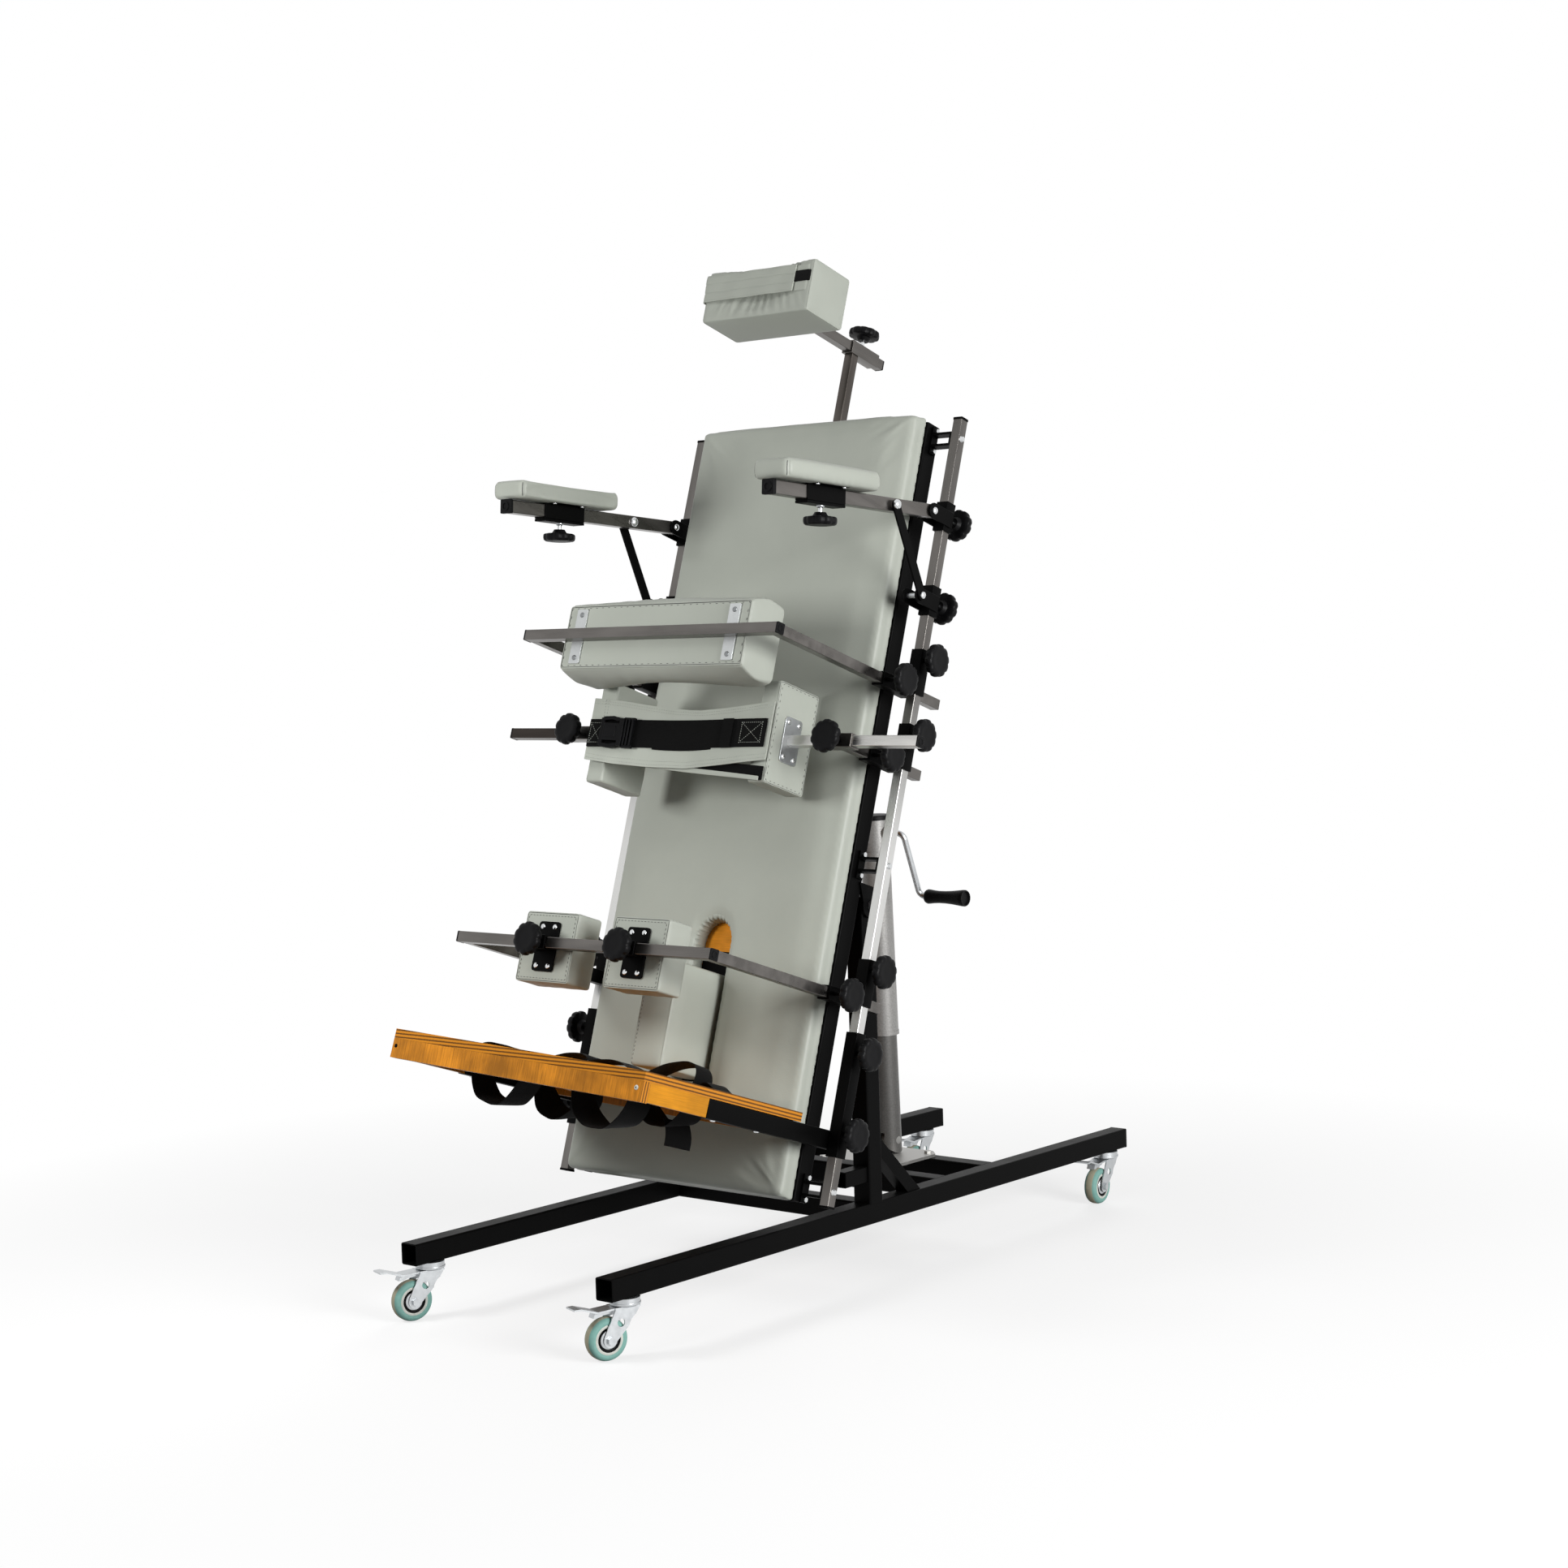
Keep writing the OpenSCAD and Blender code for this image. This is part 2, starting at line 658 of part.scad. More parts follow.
// Armrest bar with its eye, strut stub and ringed end cap
module arm_bar(side) {
  length = 458;
  color(steel) on_table() sided(side) on_arm() {
    difference() {
      translate([0, 15, 0]) towards_n() square_tube(25, length + 15, 2, 2);
      towards_x() cylinder(r = 5 + running, h = 40, center = true);
    }
    translate([12.5, -strut_at, 0]) towards_x() cylinder(d = 16, h = 3.5);
    translate([-12.5, -strut_at, 0]) rotate([0, -90, 0]) hex_head(15, 6);
  }
  color(black) on_table() sided(side) on_arm() translate([0, -length, 0]) towards_n() {
    end_cap(27, 7);
    translate([0, 0, 7]) linear_extrude(1.5) difference() {
      circle(9);
      circle(6);
    }
  }
}

// Sleeve that carries the arm pad along the bar, with flange, plate and knob
module arm_carriage(side) {
  s0 = 265;
  length = 107;
  color(black) on_table() sided(side) on_arm() {
    translate([0, -s0, 0]) towards_n() slip_sleeve(25, length, 2);
    box([-14.8, 14.8], [-s0 - length, -s0], [-20, -14.5]);
    box([-30, 30], [-s0 - length + 8, -s0 - 8], [13.5, 15]);
    translate([0, -s0 - length / 2, -20]) rotate([180, 0, 0]) knob(14);
  }
}

// Arm pad with crowned top
module arm_pad(side) {
  s0 = 190;
  length = 268;
  color(vinyl) on_table() sided(side) on_arm() translate([0, -s0 - length / 2, 0]) rotate([-90, 0, 0])
    cushion(84, length, function(u, v) 51 - 9 * to_edge(u, v, 4), function(u, v) 15.1, 3, 6, 1);
}

// Flat strut between the bar and the lower clamp
module arm_strut(side) {
  x0 = rail_x + sleeve / 2 + 3.8;
  rise = elbow_u - strut_at * sin(elbow_droop + 0.5) - strut_foot_u;
  color(black) on_table() sided(side) {
    at(x0, strut_foot_u, strut_foot_n) rotate([acos(rise / strut_l), 0, 0])
      rotate([90, 0, 90]) {
        linear_extrude(4) difference() {
          union() {
            translate([-10, 0]) square([20, strut_l]);
            for (v = [0, strut_l]) translate([0, v]) circle(10);
          }
          circle(5 + running);
        }
        translate([0, strut_l, 4]) hex_head(15, 5);
      }
  }
}

// Lower rail clamp of an armrest
module arm_foot(side) {
  color(black) on_table() sided(side) {
    at(rail_x, 1317, rail_n) slip_sleeve(rail, 58);
    hinge_ears(strut_foot_u, strut_foot_n, 4.6);
    at(rail_x, 1346, rail_n - sleeve / 2) towards_back() knob(18);
  }
}

// Rail clamp with a cross sleeve for a bar that runs out along n, and its two knobs
module rail_clamp(u) {
  at(rail_x, u - 10, rail_n) slip_sleeve(rail, 87);
  at(arm_x, u, rail_n - 9) towards_n() slip_sleeve(rail, 60 - rail_n + 9);
  at(arm_x + sleeve / 2, u, 46) towards_x() knob(28);
  at(rail_x + sleeve / 2, u + 57, rail_n) towards_x() knob(14);
}

module chest_clamps() {
  color(black) on_table() both_sides() rail_clamp(chest_u);
}

// Bar round the front of the patient, from one rail clamp to the other, with plugs in its cross tube
module hoop(u, front, back) {
  half = arm_x + rail / 2;
  both_sides() at(arm_x, u, back) towards_n() square_tube(rail, front - rail - back, 2, 1.5);
  at(-half, u, front - rail / 2) towards_x() square_tube(rail, 2 * half, 2, 1.5);
  both_sides() at(half, u, front - rail / 2) towards_x() end_cap(rail);
}

// Chest bar with the two strips that carry its pad
module chest_bar() {
  color(steel) on_table() {
    hoop(chest_u, chest_front, -123);
    for (x = [-191, 191]) {
      slab([x - 13, x + 13], [chest_front - rail - 2.5, chest_front - rail], [chest_u - 53, chest_u + 53]);
    }
  }
}

// Chest pad, hollowed towards the patient
module chest_pad() {
  front = chest_front - rail - 2.7;
  color(vinyl) on_table() at(0, chest_u + 3, 0) cushion(456, 118,
    function(u, v) front - 3 * to_edge(u, v, 8),
    function(u, v) 255 + 42 * pow(cos(90 * u), 2) + 12 * to_edge(u, v, 5), 8, 3, 2);
}

module hip_clamps() {
  color(black) on_table() both_sides() rail_clamp(hip_u);
}

// Hip arms, each with a cross sleeve and a knob in front
module hip_arm(n_bar) {
  at(arm_x, hip_u, -103) towards_n() square_tube(rail, n_bar - sleeve / 2 + 103, 2, 1.5);
  at(arm_x - 38, hip_u, n_bar) towards_x() slip_sleeve(rail, 76);
}

module hip_arms() {
  color(steel) on_table() {
    hip_arm(hip_n_r);
    mirror([1, 0, 0]) hip_arm(hip_n_l);
  }
  color(black) on_table() {
    at(arm_x, hip_u, hip_n_r + sleeve / 2) towards_n() knob(14);
    at(-arm_x, hip_u, hip_n_l + sleeve / 2) towards_n() knob(14);
  }
}

// Bar through the cross sleeve with the pad's plate at its inner end
module hip_bar(side, n_bar, plate_x) {
  bar_end = 487;
  color(steel) on_table() sided(side) {
    at(plate_x + 2.5, hip_u, n_bar) towards_x() square_tube(rail, bar_end - plate_x - 2.5, 2, 1.5);
    at(plate_x, hip_u, n_bar) towards_x() linear_extrude(2.5) soft_square(86, 48, 6);
    for (u = [-33, 33], n = [-15, 15]) at(plate_x + 2.5, hip_u + u, n_bar + n) towards_x() pan_head(9, 2.5);
  }
  color(black) on_table() sided(side) at(bar_end, hip_u, n_bar) towards_x() end_cap(rail + 0.5);
}

// Upright hip pad on its plate
module hip_pad(side, n_bar, plate_x, rise) {
  depth = 122;
  t = 42;
  color(vinyl) on_table() sided(side) at(plate_x, hip_u + rise, n_bar - 7) rotate([0, 0, -90])
    cushion(depth, 190, function(u, v) t - 7 * to_edge(u, v, 4), function(u, v) 0.2, 3, 4, 2);
}

// Belt across the front, from the left pad to the right pad, with the webbing on its face
module hip_belt() {
  x0 = -214;
  x1 = 190;
  n_l = 254;
  n_r = 200;
  t = 5;
  face = function(u) (n_l + n_r) / 2 + u * (n_r - n_l) / 2 - 12 * pow(cos(90 * u), 2);
  color(vinyl) on_table() at((x0 + x1) / 2, hip_u, 0) {
    cushion(x1 - x0, 134, function(u, v) face(u) + t, function(u, v) face(u), 8, 3, 0.5);
  }
  color(black) on_table() at((x0 + x1) / 2, hip_u, 0) {
    cushion(x1 - x0 - 20, 54, function(u, v) face(u) + t + 3, function(u, v) face(u) + t - 1, 8, 1, 0.2);
  }
}

// Side-release buckle on the webbing
module hip_buckle() {
  slope = 11;
  color(black) on_table() at(-158, hip_u, 255.4) rotate([0, 0, slope]) {
    slab([-34, 34], [0, 11.5], [-30, 30]);
    slab([34, 46], [0, 8], [-26, 26]);
  }
}

module knee_clamps() {
  color(black) on_table() both_sides() rail_clamp(knee_u);
}

module knee_bar() {
  color(steel) on_table() hoop(knee_u, knee_front, -100);
}

// Sleeve on the knee bar with the pad's plate and a knob in front
module knee_holder(side, x) {
  mid_n = knee_front - rail / 2;
  color(black) on_table() {
    at(x - 20, knee_u, mid_n) towards_x() slip_sleeve(rail, 40);
    at(x, knee_u - 4, mid_n - sleeve / 2 - 3) towards_n() linear_extrude(4) soft_square(52, 92, 5);
    at(x, knee_u, mid_n + sleeve / 2) towards_n() knob(10);
    for (u = [-36, 36], v = [-15, 15]) {
      at(x + v, knee_u - 4 + u, mid_n - sleeve / 2 + 1) towards_n() pan_head(9, 2.5);
    }
  }
}

// Boxy knee pad, crowned towards the leg
module knee_pad(x) {
  front = knee_front - rail / 2 - sleeve / 2 - 3.2;
  color(vinyl) on_table() at(x, knee_u - 6, 0)
    cushion(130, 126, function(u, v) front, function(u, v) front - 62 + 7 * to_edge(u, v, 4), 3, 3, 2);
}

// Long rail sleeves and arms of the foot board
module foot_arms() {
  inner = rail_x - sleeve / 2;
  color(black) on_table() both_sides() {
    at(rail_x, 292, rail_n) slip_sleeve(rail, 229);
    at(inner - 10, foot_bottom - 18, -36) rotate([90, 0, 0]) linear_extrude(364) difference() {
      soft_square(20, 34, 2);
      soft_square(16, 30, 1);
    }
    for (u = [336, 484]) at(rail_x + sleeve / 2, u, rail_n) towards_x() knob(14);
  }
}

// Plywood foot board with front lip, side battens and strap slots
module foot_board() {
  half = rail_x - sleeve / 2;
  n0 = 74;
  n1 = 501;
  color(ply) on_table() {
    difference() {
      slab([-half, half], [n0, n1], [foot_bottom, foot_u]);
      for (x = strap_xs, n = strap_ns, s = [-1, 1]) {
        edge = x + s * strap_half;
        slab([edge - 3, edge + 3], [n - 22, n + 22], [foot_bottom - 1, foot_u + 1]);
      }
    }
    slab([-half, half], [n1 - 18, n1], [foot_bottom - 36, foot_bottom]);
    slab([-half + 20, half - 20], [n0, n0 + 18], [foot_bottom - 30, foot_bottom]);
    both_sides() slab([half - 20, half], [329, n1 - 18], [foot_bottom - 34, foot_bottom]);
    slab([-22, 18], [300, 340], [foot_bottom - 30, foot_bottom]);
  }
}

// Arc of webbing over a chord, seen along n
module strap_arc(rise) {
  r = (strap_half * strap_half + rise * rise) / (2 * rise);
  intersection() {
    translate([0, rise - r]) difference() {
      circle(r + strap_t / 2, $fn = 64);
      circle(r - strap_t / 2, $fn = 64);
    }
    translate([-strap_half - strap_t / 2, 0]) square([2 * strap_half + strap_t, rise + strap_t]);
  }
}

// Four webbing loops, each through a pair of slots in the foot board
module foot_straps() {
  board = foot_u - foot_bottom;
  color(black) on_table() for (x = strap_xs, n = strap_ns) {
    at(x, foot_u, n - 19) towards_n() linear_extrude(38) {
      strap_arc(34);
      translate([0, -board]) mirror([0, 1]) strap_arc(58);
      for (s = [-1, 1]) translate([s * strap_half - strap_t / 2, -board - 0.5]) square([strap_t, board + 1]);
    }
  }
}

base_frame();
base_caps();
jack_plate();
pivot_bolts();
castor_fork(castors[0]);  // castor_fork_fl
castor_fork(castors[1]);  // castor_fork_fr
castor_fork(castors[2]);  // castor_fork_rl
castor_fork(castors[3]);  // castor_fork_rr
castor_wheel(castors[0]);  // castor_wheel_fl
castor_wheel(castors[1]);  // castor_wheel_fr
castor_wheel(castors[2]);  // castor_wheel_rl
castor_wheel(castors[3]);  // castor_wheel_rr
table_frame();
table_board();
table_cushion();
abduction_block();
side_rails();
rail_brackets();
table_bolts();
jack_ram();
jack_tube();
crank();
crank_grip();
head_post();
head_bar();
head_pad();
head_strap();
arm_clamp(-1);  // arm_clamp_l
arm_clamp(1);  // arm_clamp_r
arm_bar(-1);  // arm_bar_l
arm_bar(1);  // arm_bar_r
arm_carriage(-1);  // arm_carriage_l
arm_carriage(1);  // arm_carriage_r
arm_pad(-1);  // arm_pad_l
arm_pad(1);  // arm_pad_r
arm_strut(-1);  // arm_strut_l
arm_strut(1);  // arm_strut_r
arm_foot(-1);  // arm_foot_l
arm_foot(1);  // arm_foot_r
chest_clamps();
chest_bar();
chest_pad();
hip_clamps();
hip_arms();
hip_bar(-1, hip_n_l, 216);  // hip_bar_l
hip_bar(1, hip_n_r, 187);  // hip_bar_r
hip_pad(-1, hip_n_l, 216, -6);  // hip_pad_l
hip_pad(1, hip_n_r, 187, 4);  // hip_pad_r
hip_belt();
hip_buckle();
knee_clamps();
knee_bar();
knee_holder(-1, -104);  // knee_holder_l
knee_holder(1, 118);  // knee_holder_r
knee_pad(-104);  // knee_pad_l
knee_pad(118);  // knee_pad_r
foot_arms();
foot_board();
foot_straps();
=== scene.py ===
import json
import math

import bmesh
import bpy
import numpy as np
from bpy.props import FloatProperty, FloatVectorProperty, IntProperty, PointerProperty
from mathutils import Matrix, Vector, noise
from mathutils.bvhtree import BVHTree


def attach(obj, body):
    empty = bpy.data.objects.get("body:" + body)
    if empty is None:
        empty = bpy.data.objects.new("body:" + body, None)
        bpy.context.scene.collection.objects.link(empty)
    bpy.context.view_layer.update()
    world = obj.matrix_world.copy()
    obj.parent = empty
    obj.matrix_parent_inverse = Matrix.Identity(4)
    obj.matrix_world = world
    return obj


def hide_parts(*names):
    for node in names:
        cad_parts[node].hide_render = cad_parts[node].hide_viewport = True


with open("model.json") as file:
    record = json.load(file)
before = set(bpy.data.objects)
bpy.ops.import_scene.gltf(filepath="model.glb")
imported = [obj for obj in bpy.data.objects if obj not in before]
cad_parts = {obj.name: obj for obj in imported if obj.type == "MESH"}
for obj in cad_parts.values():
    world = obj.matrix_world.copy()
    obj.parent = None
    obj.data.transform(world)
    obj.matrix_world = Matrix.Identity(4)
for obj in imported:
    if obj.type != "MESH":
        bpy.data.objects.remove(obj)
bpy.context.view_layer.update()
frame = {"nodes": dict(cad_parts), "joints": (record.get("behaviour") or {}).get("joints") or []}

bl_info = {
    "name": "Standing frame",
    "version": (1, 0, 0),
    "blender": (4, 5, 0),
    "location": "View3D > Sidebar > Standing frame",
    "description": "Upholstery, clamps, knobs, boards and finishes of a tilting standing frame",
    "category": "Object",
}

NODES = frame["nodes"]
MM = 0.001
SIDES = {"l": -1, "r": 1}


def moved(x, y, z):
    return Matrix.Translation((x, y, z))


def turned(angle, axis):
    return Matrix.Rotation(angle, 4, axis)


# Table axes: x across, u up along the table, n out of the cushion; a local point is (x, -n, u) in millimetres
TILT = math.radians(18.35)
POST_Y = -69
SHIFT = next(j for j in frame["joints"] if j["name"] == "table_tilt")["pos_m"][1] / MM - POST_Y
TABLE_Y = SHIFT - 382.8
TABLE = moved(0, TABLE_Y * MM, 0) @ turned(-TILT, "X") @ Matrix.Scale(MM, 4)
BASE = moved(0, SHIFT * MM, 0) @ Matrix.Scale(MM, 4)
TO_N, TO_BACK = turned(math.pi / 2, "X"), turned(-math.pi / 2, "X")
TO_X, FROM_X = turned(math.pi / 2, "Y"), turned(-math.pi / 2, "Y")
DOWN = turned(math.pi, "X")
MIRROR = Matrix.Scale(-1, 4, (1, 0, 0))

# Sizes of the steel parts in millimetres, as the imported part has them
RAIL, SLEEVE = 20, 26.6
RAIL_X, RAIL_N = 327, -23.4
ARM_X = 303
HEAD_U, POST_N = 1897, -54
CHEST_U, CHEST_FRONT = 1173, 378
HIP_U, HIP_N = 1028, {"l": 188, "r": 140}
HIP_PLATE = {"l": 216, "r": 187}
HIP_RISE = {"l": -11, "r": 6}
KNEE_U, KNEE_FRONT = 580, 396
KNEE_X = {"l": -104, "r": 118}
CLAMPS = (("chest", CHEST_U), ("hip", HIP_U), ("knee", KNEE_U))
ELBOW_U, ELBOW_N = 1508, 29
DROOP = math.radians(13.8)
STRUT_AT, STRUT_U, STRUT_N = 121.8, 1342, 28
CARRIAGE_AT, CARRIAGE_LONG = 265, 107
JACK_Y, JACK_Z, JACK_LEAN = 310, 177.5, math.radians(1.7)
JACK = BASE @ moved(0, JACK_Y, JACK_Z) @ turned(JACK_LEAN, "X")
CRANK_UP, CRANK_R, CRANK_LEAN = 632, 141, math.radians(21)
CRANK = JACK @ moved(0, 0, CRANK_UP) @ turned(CRANK_LEAN - JACK_LEAN, "X")

# Swivel of a castor, how far its wheel trails and hangs below it, and the side, end and turn of each castor
CASTOR_X, CASTOR_Y, CASTOR_Z = 242.5, 741, 105
TRAIL, DROP = 39, 67.5
CASTORS = {"fl": (-1, -1, -19), "fr": (1, -1, -19), "rl": (-1, 1, 5), "rr": (1, 1, 5)}

# The foot board sits a little askew on its arms
FOOT_TOP, FOOT_UNDER, FOOT_ROLL = 371, 354, math.radians(2.5)
FOOT = TABLE @ moved(0, 0, FOOT_UNDER) @ turned(FOOT_ROLL, "Y") @ moved(0, 0, -FOOT_UNDER)


def shift(x, u, n):
    return moved(x, -n, u)


def at(x, u, n):
    return TABLE @ shift(x, u, n)


def sided(side):
    return TABLE @ (MIRROR if side < 0 else Matrix())


def on_arm(side):
    return sided(side) @ shift(RAIL_X, ELBOW_U, ELBOW_N) @ turned(DROOP, "X")


def foot_arm_u(side):
    """Height of a foot arm, which follows the roll of the foot board."""
    return FOOT_UNDER - 18 - side * (RAIL_X - SLEEVE / 2 + side * 10 - 10) * math.tan(FOOT_ROLL)


def set_at(place, line):
    return [place @ Vector(p) for p in line]


def linear(code):
    """Linear colour of an sRGB hex code."""
    parts = [int(code[i:i + 2], 16) / 255 for i in (1, 3, 5)]
    return [c / 12.92 if c <= 0.04045 else ((c + 0.055) / 1.055) ** 2.4 for c in parts]


class FinishSettings(bpy.types.PropertyGroup):
    """Colours of the finishes."""

    vinyl: FloatVectorProperty(name="Upholstery", description="Colour of the coated fabric",
                               subtype="COLOR", default=linear("#A2A69D"))
    powder: FloatVectorProperty(name="Powder coat", description="Colour of the coated steel tube",
                                subtype="COLOR", default=linear("#070707"))
    moulded: FloatVectorProperty(name="Knobs", description="Colour of knobs, plugs and grips",
                                 subtype="COLOR", default=linear("#070708"))
    stainless: FloatVectorProperty(name="Stainless bar", description="Colour of the brushed bars",
                                   subtype="COLOR", default=linear("#6A6764"))
    zinc: FloatVectorProperty(name="Zinc", description="Colour of plated parts",
                              subtype="COLOR", default=linear("#C3C6C8"))
    birch: FloatVectorProperty(name="Plywood", description="Colour of the varnished face veneer",
                               subtype="COLOR", default=linear("#C67E1E"))
    batten: FloatVectorProperty(name="Batten", description="Colour of the pale battens",
                                subtype="COLOR", default=linear("#BE7D12"))
    webbing: FloatVectorProperty(name="Webbing", description="Colour of straps and belt webbing",
                                 subtype="COLOR", default=linear("#060606"))
    tyre: FloatVectorProperty(name="Tyre", description="Colour of the castor tyres",
                              subtype="COLOR", default=linear("#7BA89F"))


class PadSettings(bpy.types.PropertyGroup):
    """Sizes of the upholstery work."""

    pressure: FloatProperty(name="Filling", description="Pressure of the foam behind the cover",
                            default=4.0, min=0.0, max=12.0)
    swell: FloatProperty(name="Swell", description="Most that a cover stands out from its block",
                         default=0.006, min=0.0, max=0.03, unit="LENGTH")
    frames: IntProperty(name="Steps", description="Steps of the cover's settling", default=20, min=2, max=60)
    stitch: FloatProperty(name="Stitch", description="Spacing of the stitches", default=0.0075,
                          min=0.002, max=0.02, unit="LENGTH")
    thread: FloatProperty(name="Thread", description="Thickness of the sewing thread", default=0.0011,
                          min=0.0004, max=0.003, unit="LENGTH")


class StandingFrameSettings(bpy.types.PropertyGroup):
    """All settings of the standing frame."""

    finish: PointerProperty(type=FinishSettings)
    pad: PointerProperty(type=PadSettings)


def settings():
    return bpy.context.scene.standing_frame


def add(tree, kind, links=(), values=(), **options):
    """A node with its options, input values and links."""
    made = tree.nodes.new(kind)
    for key, value in options.items():
        setattr(made, key, value)
    for key, value in dict(values).items():
        made.inputs[key].default_value = value
    for key, socket in dict(links).items():
        tree.links.new(socket, made.inputs[key])
    return made


def calc(tree, operation, *terms):
    """One calculation with sockets and plain numbers."""
    numbers = {i: t for i, t in enumerate(terms) if isinstance(t, (int, float))}
    sockets = {i: t for i, t in enumerate(terms) if i not in numbers}
    return add(tree, "ShaderNodeMath", sockets, numbers, operation=operation).outputs[0]


def ramp(tree, value, low, high, **options):
    """A value that rises from 0 to 1 between low and high."""
    return add(tree, "ShaderNodeMapRange", {"Value": value}, {"From Min": low, "From Max": high}, **options).outputs[0]


def patches(tree, place, size, detail, rough=0.5):
    """Noise in patches of a size in metres."""
    return add(tree, "ShaderNodeTexNoise", {"Vector": place},
               {"Scale": 1 / size, "Detail": detail, "Roughness": rough}).outputs[0]


def cells(tree, place, size):
    """Round cells of a size in metres."""
    return add(tree, "ShaderNodeTexVoronoi", {"Vector": place}, {"Scale": 1 / size},
               feature="SMOOTH_F1").outputs["Distance"]


def in_table(tree, place, grain=(1, 1, 1)):
    """Table coordinates divided by the grain's size in metres along x, -n and u."""
    return add(tree, "ShaderNodeMapping", {"Vector": place}, {
        "Location": (0, TABLE_Y * MM, 0), "Rotation": (-TILT, 0, 0), "Scale": grain}, vector_type="TEXTURE").outputs[0]


def new_finish(name, **values):
    """An empty material with its shader and its place in Object coordinates."""
    made = bpy.data.materials.new(name)
    made.use_nodes = True
    tree = made.node_tree
    tree.nodes.clear()
    shader = add(tree, "ShaderNodeBsdfPrincipled", values={k.replace("_", " "): v for k, v in values.items()})
    add(tree, "ShaderNodeOutputMaterial", {"Surface": shader.outputs[0]})
    return made, tree, shader, add(tree, "ShaderNodeTexCoord").outputs["Object"]


def two_tone(tree, shader, fac, colour, gains, rough):
    """One pattern that runs between two gains of a colour and two roughnesses."""
    low, high = ([min(1.0, c * gain) for c in colour] + [1.0] for gain in gains)
    mix = add(tree, "ShaderNodeMix", {0: fac}, {6: low, 7: high}, data_type="RGBA")
    tree.links.new(mix.outputs[2], shader.inputs["Base Color"])
    dull = add(tree, "ShaderNodeMapRange", {"Value": fac}, {"To Min": rough[0], "To Max": rough[1]})
    tree.links.new(dull.outputs[0], shader.inputs["Roughness"])


def relief(tree, shader, height, strength, depth):
    bump = add(tree, "ShaderNodeBump", {"Height": height}, {"Strength": strength, "Distance": depth})
    tree.links.new(bump.outputs[0], shader.inputs["Normal"])


def patchy(name, colour, tone, gains, rough, grain=None, **values):
    """A finish of two tones in patches over a grain: its patches, the strength of its bump and its depth."""
    made, tree, shader, place = new_finish(name, **values)
    two_tone(tree, shader, patches(tree, place, *tone), colour, gains, rough)
    if grain:
        relief(tree, shader, patches(tree, place, *grain[0]), *grain[1:])
    return made


def coated_fabric(name, colour):
    """PVC-coated upholstery fabric, calendered: satin, with a pebbled grain and slow changes of tone.
    The real grain is about 1 mm, and is drawn at 2.2 mm so that it shows."""
    made, tree, shader, place = new_finish(name, Specular_IOR_Level=0.42)
    two_tone(tree, shader, patches(tree, place, 0.09, 4, 0.6), colour, (0.93, 1.07), (0.42, 0.56))
    height = calc(tree, "ADD", cells(tree, place, 0.0022), patches(tree, place, 0.012, 2))
    relief(tree, shader, height, 0.16, 0.0006)
    return made


def powder_coat(name, colour):
    """Polyester powder coat on steel: satin black with orange peel of about 1.5 mm and dull patches from hands."""
    return patchy(name, colour, (0.06, 5, 0.65), (0.8, 1.35), (0.3, 0.48), ((0.0016, 2), 0.14, 0.0005),
                  Specular_IOR_Level=0.03)


def moulded_nylon(name, colour):
    """Glass-filled nylon, moulded: near black with a spark-eroded grain and a low, soft gloss."""
    return patchy(name, colour, (0.018, 4), (0.8, 1.6), (0.34, 0.52), ((0.0013, 3), 0.2, 0.0005),
                  Specular_IOR_Level=0.1)


def zinc_plate(name, colour, rough=0.26):
    """Bright zinc plate over pressed steel: bluish silver with faint clouds and press marks."""
    return patchy(name, colour, (0.011, 5, 0.7), (0.8, 1.1), (rough, rough + 0.16), ((0.003, 3), 0.1, 0.0004),
                  Metallic=1.0)


def rubber(name, colour, rough=0.6):
    """Thermoplastic rubber tread, moulded: matt with faint dust and scuffs."""
    dust = (0.009, 5, 0.7)
    return patchy(name, colour, dust, (0.82, 1.14), (rough, rough + 0.15), (dust, 0.12, 0.0005),
                  Specular_IOR_Level=0.35)


def thread(name, colour):
    """Bonded sewing thread: dark, twisted, with a dull shine. The dark copy also draws lines of painted shade along
    sewn edges.
    """
    return patchy(name, colour, (0.0015, 2), (0.6, 1.5), (0.55, 0.75), Sheen_Weight=0.2)


def brushed_stainless(name, colour, grain, bright=None):
    """Stainless square bar, belt-brushed along its length: a fine streak, and long soft bands of painted reflection of
    the room.
    A bar given two heights in metres along the table has a painted pale reflection of the floor between them."""
    made, tree, shader, place = new_finish(name, Metallic=1.0)
    streak = patches(tree, in_table(tree, place, grain), 1, 3, 0.6)
    # Long soft bands in the base colour: painted reflection of the room, over the real brushing streak
    band = patches(tree, in_table(tree, place, [2.5 * g if g > 0.01 else 0.03 for g in grain]), 1, 2)
    both = calc(tree, "MULTIPLY_ADD", streak, 0.3, band)
    two_tone(tree, shader, ramp(tree, both, 0.5, 0.82), colour, (0.84, 1.15), (0.26, 0.36))
    # Painted reflection: between the two heights the base colour goes over to pale grey
    if bright:
        low, high = bright
        height = add(tree, "ShaderNodeSeparateXYZ", {0: in_table(tree, place)}).outputs[2]
        below, above = (ramp(tree, height, a, b, interpolation_type="SMOOTHSTEP")
                        for a, b in ((high + 0.3, high - 0.12), (low - 0.1, low + 0.1)))
        steel = shader.inputs["Base Color"].links[0].from_socket
        mix = add(tree, "ShaderNodeMix", {0: calc(tree, "MULTIPLY", below, above), 6: steel},
                  {7: linear("#D2D2D0") + [1.0]}, data_type="RGBA")
        tree.links.new(mix.outputs[2], shader.inputs["Base Color"])
    relief(tree, shader, streak, 0.05, 0.0003)
    return made


def hammered_silver(name, colour):
    """Silver hammer-finish paint on the jack: small bright cells, drawn at 2.8 mm, in a grey lacquer."""
    made, tree, shader, place = new_finish(name, Metallic=0.3, Specular_IOR_Level=0.4)
    dents = cells(tree, place, 0.0028)
    two_tone(tree, shader, dents, colour, (1.15, 0.7), (0.32, 0.5))
    relief(tree, shader, dents, 0.2, 0.0006)
    return made


